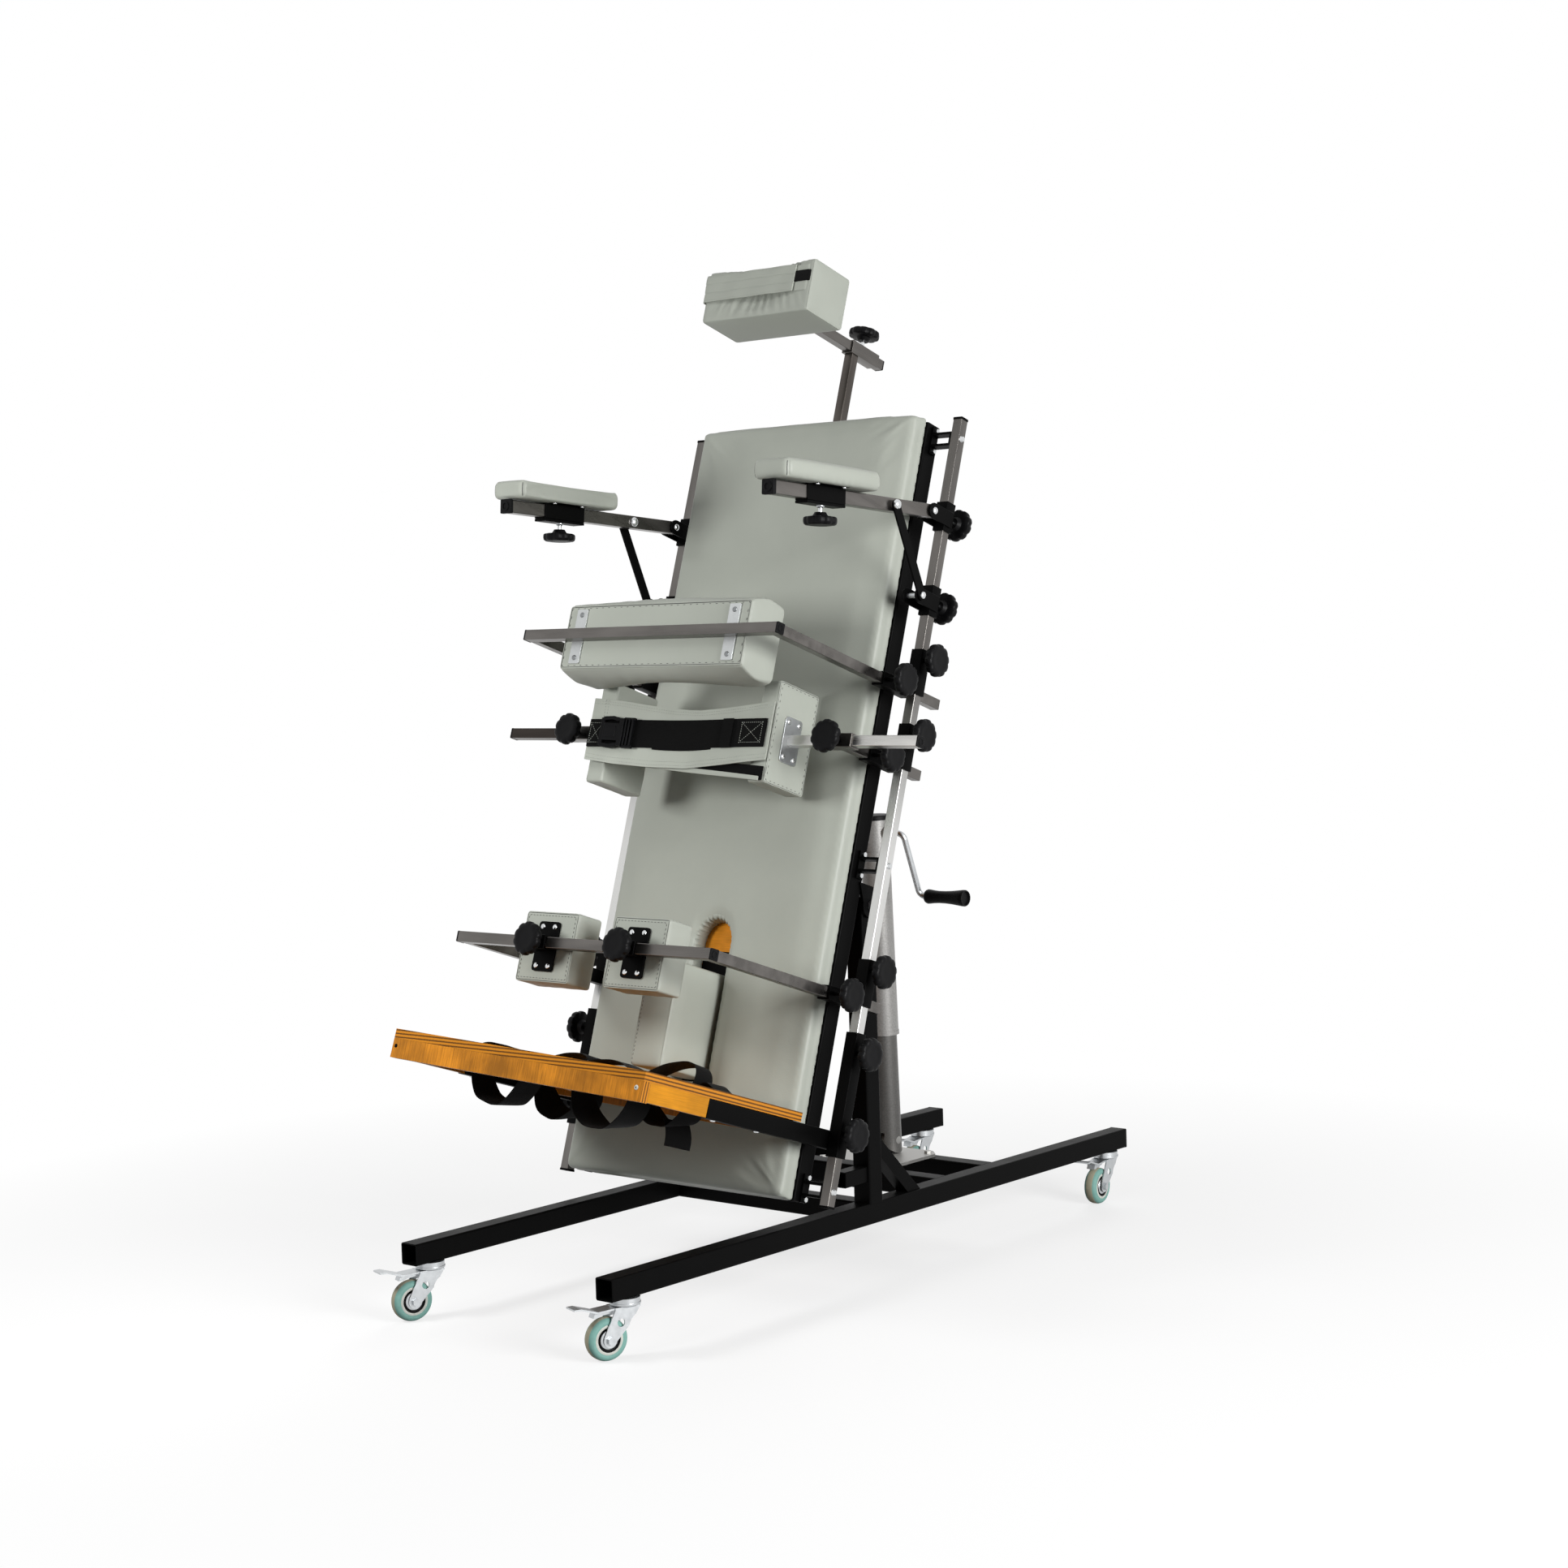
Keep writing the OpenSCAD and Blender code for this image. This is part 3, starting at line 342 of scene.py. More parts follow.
VARNISH = {"Coat_Weight": 0.05, "Coat_Roughness": 0.3, "Specular_IOR_Level": 0.25}


def veneer(name, colour, grain, dark=0.62):
    """Varnished birch veneer: long grain lines and broad stains under a warm, half-gloss coat."""
    made, tree, shader, place = new_finish(name, **VARNISH)
    lines = patches(tree, in_table(tree, place, grain), 1, 6, 0.68)
    both = calc(tree, "MULTIPLY", lines, patches(tree, place, 0.07, 3))
    two_tone(tree, shader, ramp(tree, both, 0.14, 0.38), colour, (dark, 1.3), (0.48, 0.36))
    relief(tree, shader, lines, 0.16, 0.0004)
    return made


def ply_edge(name, colour, axis):
    """Cut edge of plywood: pale and dark plies in turn along one table axis (0 x, 1 -n, 2 u).
    Real plies are about 1.5 mm, and are drawn at 3.2 mm so that they show."""
    made, tree, shader, place = new_finish(name, **VARNISH)
    ply, local = 0.0032, in_table(tree, place)
    across = add(tree, "ShaderNodeSeparateXYZ", {0: local}).outputs[axis]
    bent = calc(tree, "MULTIPLY_ADD", patches(tree, local, 0.05, 3), 0.0006, across)
    wave = calc(tree, "SINE", calc(tree, "MULTIPLY", bent, math.tau / (2 * ply)))
    fibre = patches(tree, in_table(tree, place, (0.004, 0.004, 0.0008)), 1, 4)
    fac = ramp(tree, calc(tree, "MULTIPLY_ADD", fibre, 0.9, wave), -0.35, 0.75)
    two_tone(tree, shader, fac, colour, (0.17, 1.0), (0.6, 0.48))
    relief(tree, shader, fac, 0.25, 0.0006)
    return made


def woven_webbing(name, colour):
    """Polypropylene webbing: ribs across the strap, drawn at 2.4 mm, and a soft sheen on the yarn."""
    made, tree, shader, _ = new_finish(name, Sheen_Weight=0.03, Sheen_Roughness=0.4, Specular_IOR_Level=0.1)
    strap = add(tree, "ShaderNodeUVMap", uv_map="strap").outputs[0]
    ways = add(tree, "ShaderNodeSeparateXYZ", {0: strap}).outputs
    rib, yarn = (calc(tree, "SINE", calc(tree, "MULTIPLY", ways[k], math.tau / size))
                 for k, size in enumerate((0.0024, 0.0032)))
    weave = calc(tree, "MULTIPLY", rib, yarn)
    two_tone(tree, shader, ramp(tree, weave, -1.0, 1.0), colour, (0.7, 1.9), (0.85, 0.7))
    relief(tree, shader, weave, 0.4, 0.0006)
    return made


# Size of the brushing in metres along x, -n and u
ALONG_X, ALONG_N, ALONG_U = (0.06, 0.0012, 0.0012), (0.0012, 0.06, 0.0012), (0.0012, 0.0012, 0.06)
FINISHES = {}


def finish(name):
    """A finish by its name, made when it is first asked for."""
    if name not in FINISHES:
        tone = settings().finish
        maker, colour, *more = {
            "coated_fabric": (coated_fabric, tone.vinyl),
            "fabric_lining": (woven_webbing, "#050505"),
            "powder_coated_steel": (powder_coat, tone.powder),
            "moulded_nylon": (moulded_nylon, tone.moulded),
            # The side rails carry a painted reflection of the floor between 0.45 and 0.95 m along the table
            "stainless_along_u": (brushed_stainless, tone.stainless, ALONG_U, (0.45, 0.95)),
            # A darker copy of the brushed stainless: painted shade on the head post
            "stainless_post": (brushed_stainless, "#57524E", ALONG_U),
            "stainless_along_n": (brushed_stainless, tone.stainless, ALONG_N),
            "stainless_along_x": (brushed_stainless, tone.stainless, ALONG_X),
            # Lit and shaded copies of the brushed stainless: painted light on the right hip bar, painted shade on the
            # left one
            "stainless_shaded": (brushed_stainless, "#3A3532", ALONG_X),
            "stainless_hip": (brushed_stainless, "#CFCECB", ALONG_X),
            "pale_aluminium": (zinc_plate, "#CDD0D0", 0.4),
            # A darker copy of the zinc plate: painted shade for the dark rings round the chest strip screw heads
            "screw_steel": (zinc_plate, "#8E9192", 0.3),
            "zinc_plate": (zinc_plate, tone.zinc),
            "bright_chrome": (zinc_plate, "#D9DBDC", 0.12),
            "rolled_steel": (zinc_plate, "#A9A8A5", 0.38),
            "hammered_silver": (hammered_silver, "#8E8D8B"),
            "grey_ram": (hammered_silver, "#575654"),
            "veneer_along_x": (veneer, tone.birch, (0.05, 0.0012, 0.0012)),
            "veneer_along_u": (veneer, tone.birch, (0.0022, 0.0022, 0.05), 0.5),
            "pale_batten": (veneer, tone.batten, (0.0015, 0.06, 0.0015), 0.8),
            "ply_edge_u": (ply_edge, tone.birch, 2),
            "ply_edge_n": (ply_edge, tone.birch, 1),
            "woven_webbing": (woven_webbing, tone.webbing),
            "tyre_rubber": (rubber, tone.tyre),
            "pale_rim": (moulded_nylon, "#B9BBB4"),
            "tread_rubber": (rubber, "#A9A58F", 0.65),
            # Dark thread for stitches, and also painted shade in the lines along sewn edges
            "sewing_thread": (thread, "#3A3B39"),
            "pale_thread": (thread, "#8F938B"),
        }[name]
        FINISHES[name] = maker(name, linear(colour) if isinstance(colour, str) else colour, *more)
    return FINISHES[name]


class Shape:
    """Faces gathered in millimetres, each with the number of its finish."""

    def __init__(self):
        self.points, self.faces, self.numbers, self.uvs = [], [], [], []

    def add(self, part, place=Matrix(), number=0):
        points, faces, *uvs = part
        start = len(self.points)
        self.points += set_at(place, points)
        way = -1 if place.to_3x3().determinant() < 0 else 1
        for i, face in enumerate(faces):
            self.faces.append([start + v for v in face[::way]])
            self.numbers.append(number)
            self.uvs.append(uvs[0][i][::way] if uvs else None)
        return self


def box(x, y, z):
    points = [(x[i & 1], y[i >> 1 & 1], z[i >> 2]) for i in range(8)]
    return points, [(0, 2, 3, 1), (4, 5, 7, 6), (0, 1, 5, 4), (2, 6, 7, 3), (0, 4, 6, 2), (1, 3, 7, 5)]


def slab(x, n, u):
    return box(x, (-n[1], -n[0]), u)


def rounded(w, h, r, steps=4):
    """Outline of a rectangle with round corners, centred."""
    outline = []
    for k, (sx, sy) in enumerate(((1, 1), (-1, 1), (-1, -1), (1, -1))):
        for i in range(steps + 1):
            a = math.pi / 2 * (k + i / steps)
            outline.append((sx * (w / 2 - r) + r * math.cos(a), sy * (h / 2 - r) + r * math.sin(a)))
    return outline


def circle(r, count):
    return [(r * math.cos(a), r * math.sin(a)) for a in np.linspace(0, math.tau, count + 1)[:-1]]


def prism(outline, z0, z1):
    count = len(outline)
    points = [(x, y, z) for z in (z0, z1) for x, y in outline]
    sides = [(i, (i + 1) % count, count + (i + 1) % count, count + i) for i in range(count)]
    return points, sides + [tuple(reversed(range(count))), tuple(range(count, 2 * count))]


def hollow(outer, inner, z0, z1):
    """A tube between two outlines with the same number of points."""
    count = len(outer)
    points = [(x, y, z) for z in (z0, z1) for line in (outer, inner) for x, y in line]
    faces = []
    for i in range(count):
        j = (i + 1) % count
        faces += [(i, j, 2 * count + j, 2 * count + i),
                  (count + j, count + i, 3 * count + i, 3 * count + j),
                  (j, i, count + i, count + j),
                  (2 * count + i, 2 * count + j, 3 * count + j, 3 * count + i)]
    return points, faces


def square_tube(side, length, wall=3):
    bore = side - 2 * wall
    return hollow(rounded(side, side, 1.5), rounded(bore, bore, 0.4), 0, length)


def lathe(profile, steps=32):
    """A profile of (radius, height) turned round Z, closed at a radius of 0."""
    points, rings = [], []
    for r, z in profile:
        count = steps if r else 1
        rings.append(list(range(len(points), len(points) + count)))
        points += [(r * math.cos(math.tau * i / steps), r * math.sin(math.tau * i / steps), z) for i in range(count)]
    faces = []
    for low, high in zip(rings, rings[1:]):
        for i in range(steps):
            j = (i + 1) % steps
            ring = [low[i % len(low)], low[j % len(low)], high[j % len(high)], high[i % len(high)]]
            face = [v for k, v in enumerate(ring) if v != ring[k - 1]]
            if len(face) > 2:
                faces.append(face)
    return points, faces


def dome(r, h, rows=4):
    """Round screw head standing on z = 0."""
    arc = [(r * math.cos(math.pi / 2 * i / rows), h * 0.3 + h * 0.7 * math.sin(math.pi / 2 * i / rows))
           for i in range(rows)]
    return lathe([(0, 0), (r, 0)] + arc + [(0, h)], 20)


def ribbon(path, half, thick, wide, waves=None):
    """A strap along path, each (point, side way, face way) in millimetres, with its length and width as UV."""
    runs = [0]
    for a, b in zip(path, path[1:]):
        runs.append(runs[-1] + (Vector(b[0]) - Vector(a[0])).length)
    points, uvs = [], []
    for sign in (1, -1):
        for (p, side, face), run in zip(path, runs):
            h = half(run / runs[-1]) if callable(half) else half
            for c in np.linspace(-1, 1, wide + 1):
                edge = thick / 2 * (1 - 0.35 * abs(c) ** 8)
                lift = waves(run, c) if waves else 0
                points.append(Vector(p) + Vector(side) * (c * h) + Vector(face) * (sign * edge + lift))
                uvs.append((run * MM, c * h * MM))
    count, across = len(path), wide + 1
    back = count * across
    faces = []
    for i in range(count - 1):
        for j in range(wide):
            a = i * across + j
            b = a + back
            faces += [(a, a + across, a + across + 1, a + 1), (b, b + 1, b + across + 1, b + across)]
    for i in range(count - 1):
        a, b = i * across, (i + 1) * across
        faces += [(b, a, a + back, b + back), (a + wide, b + wide, b + wide + back, a + wide + back)]
    for a in range(wide):
        e = back - across + a
        faces += [(a, a + 1, a + 1 + back, a + back), (e + 1, e, e + back, e + 1 + back)]
    return points, faces, [[uvs[v] for v in f] for f in faces]


def linked(name, data):
    made = bpy.data.objects.new(name, data)
    bpy.context.scene.collection.objects.link(made)
    return made


def new_object(name, points, faces, edges=()):
    mesh = bpy.data.meshes.new(name)
    mesh.from_pydata([tuple(p) for p in points], edges, faces)
    return linked(name, mesh)


def dress(made, body, stands_for=()):
    """Puts a finished piece on its body and hides the CAD nodes that it stands for."""
    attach(made, body)
    if stands_for:
        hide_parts(*stands_for)
    return made


def shade(made, angle=35):
    made.data.polygons.foreach_set("use_smooth", [True] * len(made.data.polygons))
    made.data.set_sharp_from_angle(angle=math.radians(angle))


def piece(name, shape, finishes, body, stands_for=(), bevel=0.0, angle=35):
    """A rigid piece from a shape whose points are already in place."""
    made = new_object(name, shape.points, shape.faces)
    mesh = made.data
    for f in finishes:
        mesh.materials.append(finish(f))
    mesh.polygons.foreach_set("material_index", shape.numbers)
    if any(shape.uvs):
        layer = mesh.uv_layers.new(name="strap")
        layer.data.foreach_set("uv", [v for face in shape.uvs for corner in face for v in corner])
    mesh.update()
    shade(made, angle)
    if bevel:
        edge = made.modifiers.new("Edges", "BEVEL")
        edge.width = bevel * MM
        edge.segments = 2
        edge.limit_method = "ANGLE"
        edge.angle_limit = math.radians(50)
    return dress(made, body, stands_for)


def steel_piece(name, shape, body, node, bevel=0.7):
    return piece(name, shape, ["powder_coated_steel"], body, (node,), bevel)


def black_piece(name, shape, body, stands_for=(), bevel=0.0, angle=35):
    return piece(name, shape, ["moulded_nylon"], body, stands_for, bevel, angle)


def strap_piece(name, path, place, body, finish_name="woven_webbing", stands_for=()):
    """A strap from one or more ribbons."""
    shape = Shape()
    for part in path if isinstance(path, list) else [path]:
        shape.add(part, place)
    return piece(name, shape, [finish_name], body, stands_for, angle=60)


def node_tree(name, inputs):
    tree = bpy.data.node_groups.new(name, "GeometryNodeTree")
    tree.interface.new_socket("Geometry", in_out="INPUT", socket_type="NodeSocketGeometry")
    for label, kind in inputs:
        tree.interface.new_socket(label, in_out="INPUT", socket_type="NodeSocket" + kind)
    tree.interface.new_socket("Geometry", in_out="OUTPUT", socket_type="NodeSocketGeometry")
    return tree, add(tree, "NodeGroupInput")


def close_tree(tree, start, geometry, smooth=True):
    whole = add(tree, "GeometryNodeRealizeInstances", {0: geometry})
    faces = add(tree, "GeometryNodeSetShadeSmooth", {0: whole.outputs[0]}, {"Shade Smooth": smooth})
    painted = add(tree, "GeometryNodeSetMaterial", {0: faces.outputs[0], "Material": start.outputs["Finish"]})
    add(tree, "NodeGroupOutput", {0: painted.outputs[0]})
    return tree


def copies_tree():
    """A shape set on each point, its Z axis along the point's facing, stretched by the point's own scale."""
    tree, start = node_tree("Set on points", (("Shape", "Object"), ("Finish", "Material")))
    shape = add(tree, "GeometryNodeObjectInfo", {0: start.outputs["Shape"]})
    facing, stretch = (add(tree, "GeometryNodeInputNamedAttribute", values={"Name": key}, data_type="FLOAT_VECTOR")
                       for key in ("facing", "stretch"))
    turn = add(tree, "FunctionNodeAlignRotationToVector", {"Vector": facing.outputs[0]}, axis="Z")
    copies = add(tree, "GeometryNodeInstanceOnPoints", {
        "Points": start.outputs[0], "Instance": shape.outputs["Geometry"],
        "Rotation": turn.outputs[0], "Scale": stretch.outputs[0]})
    return close_tree(tree, start, copies.outputs[0], False)


def stitch_tree():
    """Stitches at even steps along a line."""
    tree, start = node_tree("Stitch a line", (
        ("Spacing", "Float"), ("Length", "Float"), ("Thickness", "Float"), ("Finish", "Material")))
    line = add(tree, "GeometryNodeMeshToCurve", {0: start.outputs[0]})
    even = add(tree, "GeometryNodeResampleCurve", {0: line.outputs[0], "Length": start.outputs["Spacing"]},
               mode="LENGTH")
    tangent = add(tree, "GeometryNodeInputTangent")
    turn = add(tree, "FunctionNodeAlignRotationToVector", {"Vector": tangent.outputs[0]}, axis="X")
    size = add(tree, "ShaderNodeCombineXYZ", {
        0: start.outputs["Length"], 1: start.outputs["Thickness"], 2: start.outputs["Thickness"]})
    bead = add(tree, "GeometryNodeMeshUVSphere", values={"Segments": 6, "Rings": 4, "Radius": 0.5})
    copies = add(tree, "GeometryNodeInstanceOnPoints", {
        "Points": even.outputs[0], "Instance": bead.outputs[0],
        "Rotation": turn.outputs[0], "Scale": size.outputs[0]})
    return close_tree(tree, start, copies.outputs[0])


def welt_tree():
    """A thin roll of fabric along a line."""
    tree, start = node_tree("Welt along a line", (("Radius", "Float"), ("Finish", "Material")))
    line = add(tree, "GeometryNodeMeshToCurve", {0: start.outputs[0]})
    even = add(tree, "GeometryNodeResampleCurve", {0: line.outputs[0]}, {"Length": 0.004}, mode="LENGTH")
    ring = add(tree, "GeometryNodeCurvePrimitiveCircle", {"Radius": start.outputs["Radius"]}, {"Resolution": 8})
    roll = add(tree, "GeometryNodeCurveToMesh", {0: even.outputs[0], 1: ring.outputs[0]}, {"Fill Caps": True})
    return close_tree(tree, start, roll.outputs[0])


TREES = {}


def grown(name, maker, source, **inputs):
    """The plain mesh that a node tree makes from a source object, which it replaces."""
    if maker not in TREES:
        TREES[maker] = maker()
    tree = TREES[maker]
    grow = source.modifiers.new("Grow", "NODES")
    grow.node_group = tree
    for item in tree.interface.items_tree:
        if item.in_out == "INPUT" and item.name in inputs:
            grow[item.identifier] = inputs[item.name]
    bpy.context.view_layer.update()
    graph = bpy.context.evaluated_depsgraph_get()
    mesh = bpy.data.meshes.new_from_object(source.evaluated_get(graph), preserve_all_data_layers=True,
                                           depsgraph=graph)
    made = linked(name, mesh)
    bpy.data.objects.remove(source)
    return made


def set_on_points(name, part, places, finish_name, body):
    """Copies of a part at each place, a matrix from millimetres; one mesh for the body."""
    shape = new_object("shape", [Vector(p) * MM for p in part[0]], part[1])
    shade(shape, 40)
    points = new_object("points", [m.to_translation() for m in places], [])
    for key, values in (("facing", [m.to_3x3().normalized().col[2] for m in places]),
                        ("stretch", [[c.length / MM for c in m.to_3x3().col] for m in places])):
        layer = points.data.attributes.new(key, "FLOAT_VECTOR", "POINT")
        layer.data.foreach_set("vector", [float(c) for v in values for c in v])
    made = grown(name, copies_tree, points, Shape=shape, Finish=finish(finish_name))
    bpy.data.objects.remove(shape)
    shade(made, 40)
    return dress(made, body)


def laid_on(cover, lines, lift):
    """Lines drawn down to a cover and raised by lift millimetres; a line that ends where it starts is closed."""
    tree = BVHTree.FromObject(cover, bpy.context.evaluated_depsgraph_get())
    points, edges = [], []
    for line in lines:
        found = [tree.find_nearest(Vector(p)) for p in line]
        laid = [spot + normal * (lift * MM) for spot, normal, *_ in found]
        start, closed = len(points), (laid[0] - laid[-1]).length < 1e-6
        kept = laid[:-1] if closed else laid
        points += kept
        edges += [(start + i, start + i + 1) for i in range(len(kept) - 1)]
        if closed:
            edges.append((start + len(kept) - 1, start))
    return new_object("line", points, [], edges)


def stitched(name, cover, lines, body, colour="sewing_thread", lift=0.2, length=0.0048, spacing=None):
    pad = settings().pad
    made = grown(name, stitch_tree, laid_on(cover, lines, lift), Spacing=spacing or pad.stitch,
                 Length=length, Thickness=pad.thread, Finish=finish(colour))
    return dress(made, body)


def welted(name, cover, lines, body, radius=1.3, lift=0.1, colour="coated_fabric"):
    made = grown(name, welt_tree, laid_on(cover, lines, lift), Radius=radius * MM, Finish=finish(colour))
    return dress(made, body)


def padded_block(size, radius, step):
    """A block with rounded edges as an even mesh: its points, their places from -1 to 1, and its faces."""
    lines = []
    for s in size:
        flat = s / 2 - radius
        inner = np.linspace(-flat, flat, max(2, round(2 * flat / step)) + 1)
        edge = flat + radius * np.array([0.35, 0.7, 1.0])
        lines.append(np.concatenate([-edge[::-1], inner, edge]))
    counts = [len(v) for v in lines]
    index, points, faces = {}, [], []

    def vertex(key):
        if key not in index:
            index[key] = len(points)
            points.append([lines[a][key[a]] for a in range(3)])
        return index[key]

    for a in range(3):
        b, c = (a + 1) % 3, (a + 2) % 3
        for end in (0, counts[a] - 1):
            for i in range(counts[b] - 1):
                for j in range(counts[c] - 1):
                    ring = []
                    for di, dj in ((0, 0), (1, 0), (1, 1), (0, 1)):
                        key = [0, 0, 0]
                        key[a], key[b], key[c] = end, i + di, j + dj
                        ring.append(vertex(tuple(key)))
                    faces.append(ring if end else ring[::-1])
    raw = np.array(points)
    half = np.array(size) / 2
    core = np.clip(raw, -(half - radius), half - radius)
    out = raw - core
    reach = np.linalg.norm(out, axis=1, keepdims=True)
    return core + out / reach * radius, raw / half, faces


def points_of(mesh, kind="co"):
    return np.array([getattr(v, kind) for v in mesh.vertices])


def put(mesh, points):
    mesh.vertices.foreach_set("co", points.astype(np.float32).ravel())


def push(mesh, amount):
    """Moves each point along its normal by millimetres."""
    put(mesh, points_of(mesh) + points_of(mesh, "normal") * (amount * MM)[:, None])


def settle(made, hold, swell):
    """Foam pressure behind the cover: Cloth with no gravity, held by weight, kept within swell metres, applied."""
    pad = settings().pad
    rest = points_of(made.data)
    group = made.vertex_groups.new(name="held")
    for i, w in enumerate(hold):
        if w > 0:
            group.add([i], float(w), "REPLACE")
    cloth = made.modifiers.new("Cover", "CLOTH")
    cloth.point_cache.frame_start, cloth.point_cache.frame_end = 1, pad.frames
    cover = cloth.settings
    cover.vertex_group_mass = "held"
    cover.quality = 5
    cover.mass = 0.2
    cover.tension_stiffness = cover.compression_stiffness = 12
    cover.bending_stiffness = 0.4
    cover.use_pressure = True
    cover.uniform_pressure_force = pad.pressure
    cover.effector_weights.gravity = 0
    scene = bpy.context.scene
    for f in range(1, pad.frames + 1):
        scene.frame_set(f)
    graph = bpy.context.evaluated_depsgraph_get()
    out = points_of(made.evaluated_get(graph).data) - rest
    far = np.linalg.norm(out, axis=1, keepdims=True)
    out *= np.minimum(1.0, swell / np.maximum(far, 1e-9))
    made.modifiers.remove(cloth)
    made.vertex_groups.remove(group)
    scene.frame_set(1)
    put(made.data, rest + out)
    made.data.update()


def covered(made, body, node):
    """Smooths a settled cover and puts it in place of its CAD node."""
    made.data.update()
    shade(made, 180)
    fine = made.modifiers.new("Smooth cover", "SUBSURF")
    fine.levels = fine.render_levels = 1
    dress(made, body, (node,))
    return made


def upholstered(name, body, node, size, radius, step, place, hold, form=None, pleat=None, swell=None):
    """A padded block: its form, the settling of its cover and its pleats, in place of a CAD node."""
    points, where, faces = padded_block(size, radius, step)
    if form:
        points = form(points, where)
    made = new_object(name, set_at(place, points), faces)
    made.data.materials.append(finish("coated_fabric"))
    settle(made, hold(where), swell or settings().pad.swell)
    if pleat:
        push(made.data, pleat(points, where))
    return covered(made, body, node)


def edge_hold(axis, side, edge=0.5):
    """Holds the face of a pad that lies on its plate, and the sewn edges a little."""
    def weights(where):
        on_plate = where[:, axis] * side > 0.98
        sewn = (np.abs(where) > 0.93).sum(axis=1) >= 2
        return np.where(on_plate, 1.0, np.where(sewn, edge, 0.0))
    return weights


def rim(place, size, face, inset=0.0, steps=40):
    """Closed line round one face of a block, (axis, side), inset from its edges by millimetres."""
    axis, side = face
    b, c = [k for k in range(3) if k != axis]
    hb, hc = size[b] / 2 - inset, size[c] / 2 - inset
    corners = [(-hb, -hc), (hb, -hc), (hb, hc), (-hb, hc), (-hb, -hc)]
    line = []
    for (b0, c0), (b1, c1) in zip(corners, corners[1:]):
        for i in range(steps):
            p = [0, 0, 0]
            p[axis] = side * size[axis] / 2
            p[b], p[c] = b0 + (b1 - b0) * i / steps, c0 + (c1 - c0) * i / steps
            line.append(p)
    return set_at(place, line + [line[0]])


def trimmed(name, tail, made, body, block, welt, seam_shade, stitch, more=()):
    """Welt (inset, radius), a dark line of painted shade along the sewn edge (inset, radius, lift) and stitches (inset,
    spacing, length) of a pad's face.
    """
    welted(f"{name}_welt{tail}", made, [rim(*block, welt[0])], body, welt[1])
    # A dark welt of thread colour: painted shade along the sewn edge
    welted(f"{name}_seam{tail}", made, [rim(*block, seam_shade[0])], body, *seam_shade[1:], "sewing_thread")
    stitched(f"{name}_stitching{tail}", made, [rim(*block, stitch[0]), *more], body,
             spacing=stitch[1], length=stitch[2])


def ripple(values, seed, wave):
    """Uneven waves along a row of values in millimetres, from -1 to 1."""
    return np.array([noise.noise(Vector((v / wave, seed, seed * 0.7))) for v in values])


class FRAME_OT_finishes(bpy.types.Operator):
    """Gives each CAD part that stays its finish"""

    bl_idname = "frame.finishes"
    bl_label = "Steel finishes"

    def execute(self, context):
        chosen = {
            "powder_coated_steel": ("base_frame", "table_frame", "rail_brackets", "arm_strut_l", "arm_strut_r"),
            "moulded_nylon": ("base_caps",),
            "stainless_along_u": ("side_rails",),
            "stainless_along_n": ("head_bar", "arm_bar_l", "arm_bar_r"),
            "stainless_along_x": ("chest_bar", "knee_bar"),
            # The hip bars get painted light (right) and painted shade (left)
            "stainless_hip": ("hip_bar_r",),
            "stainless_shaded": ("hip_bar_l",),
            "zinc_plate": ("pivot_bolts", "crank", "castor_fork_fl", "castor_fork_fr",
                           "castor_fork_rl", "castor_fork_rr"),
            "bright_chrome": ("table_bolts",),
            "rolled_steel": ("jack_plate",),
            "hammered_silver": ("jack_tube",),
            "grey_ram": ("jack_ram",),
            "veneer_along_x": ("table_board",),
        }
        for name, nodes in chosen.items():
            for n in nodes:
                slots = NODES[n].material_slots
                if not slots:
                    NODES[n].data.materials.append(finish(name))
                for s in slots:
                    s.material = finish(name)
        return {"FINISHED"}


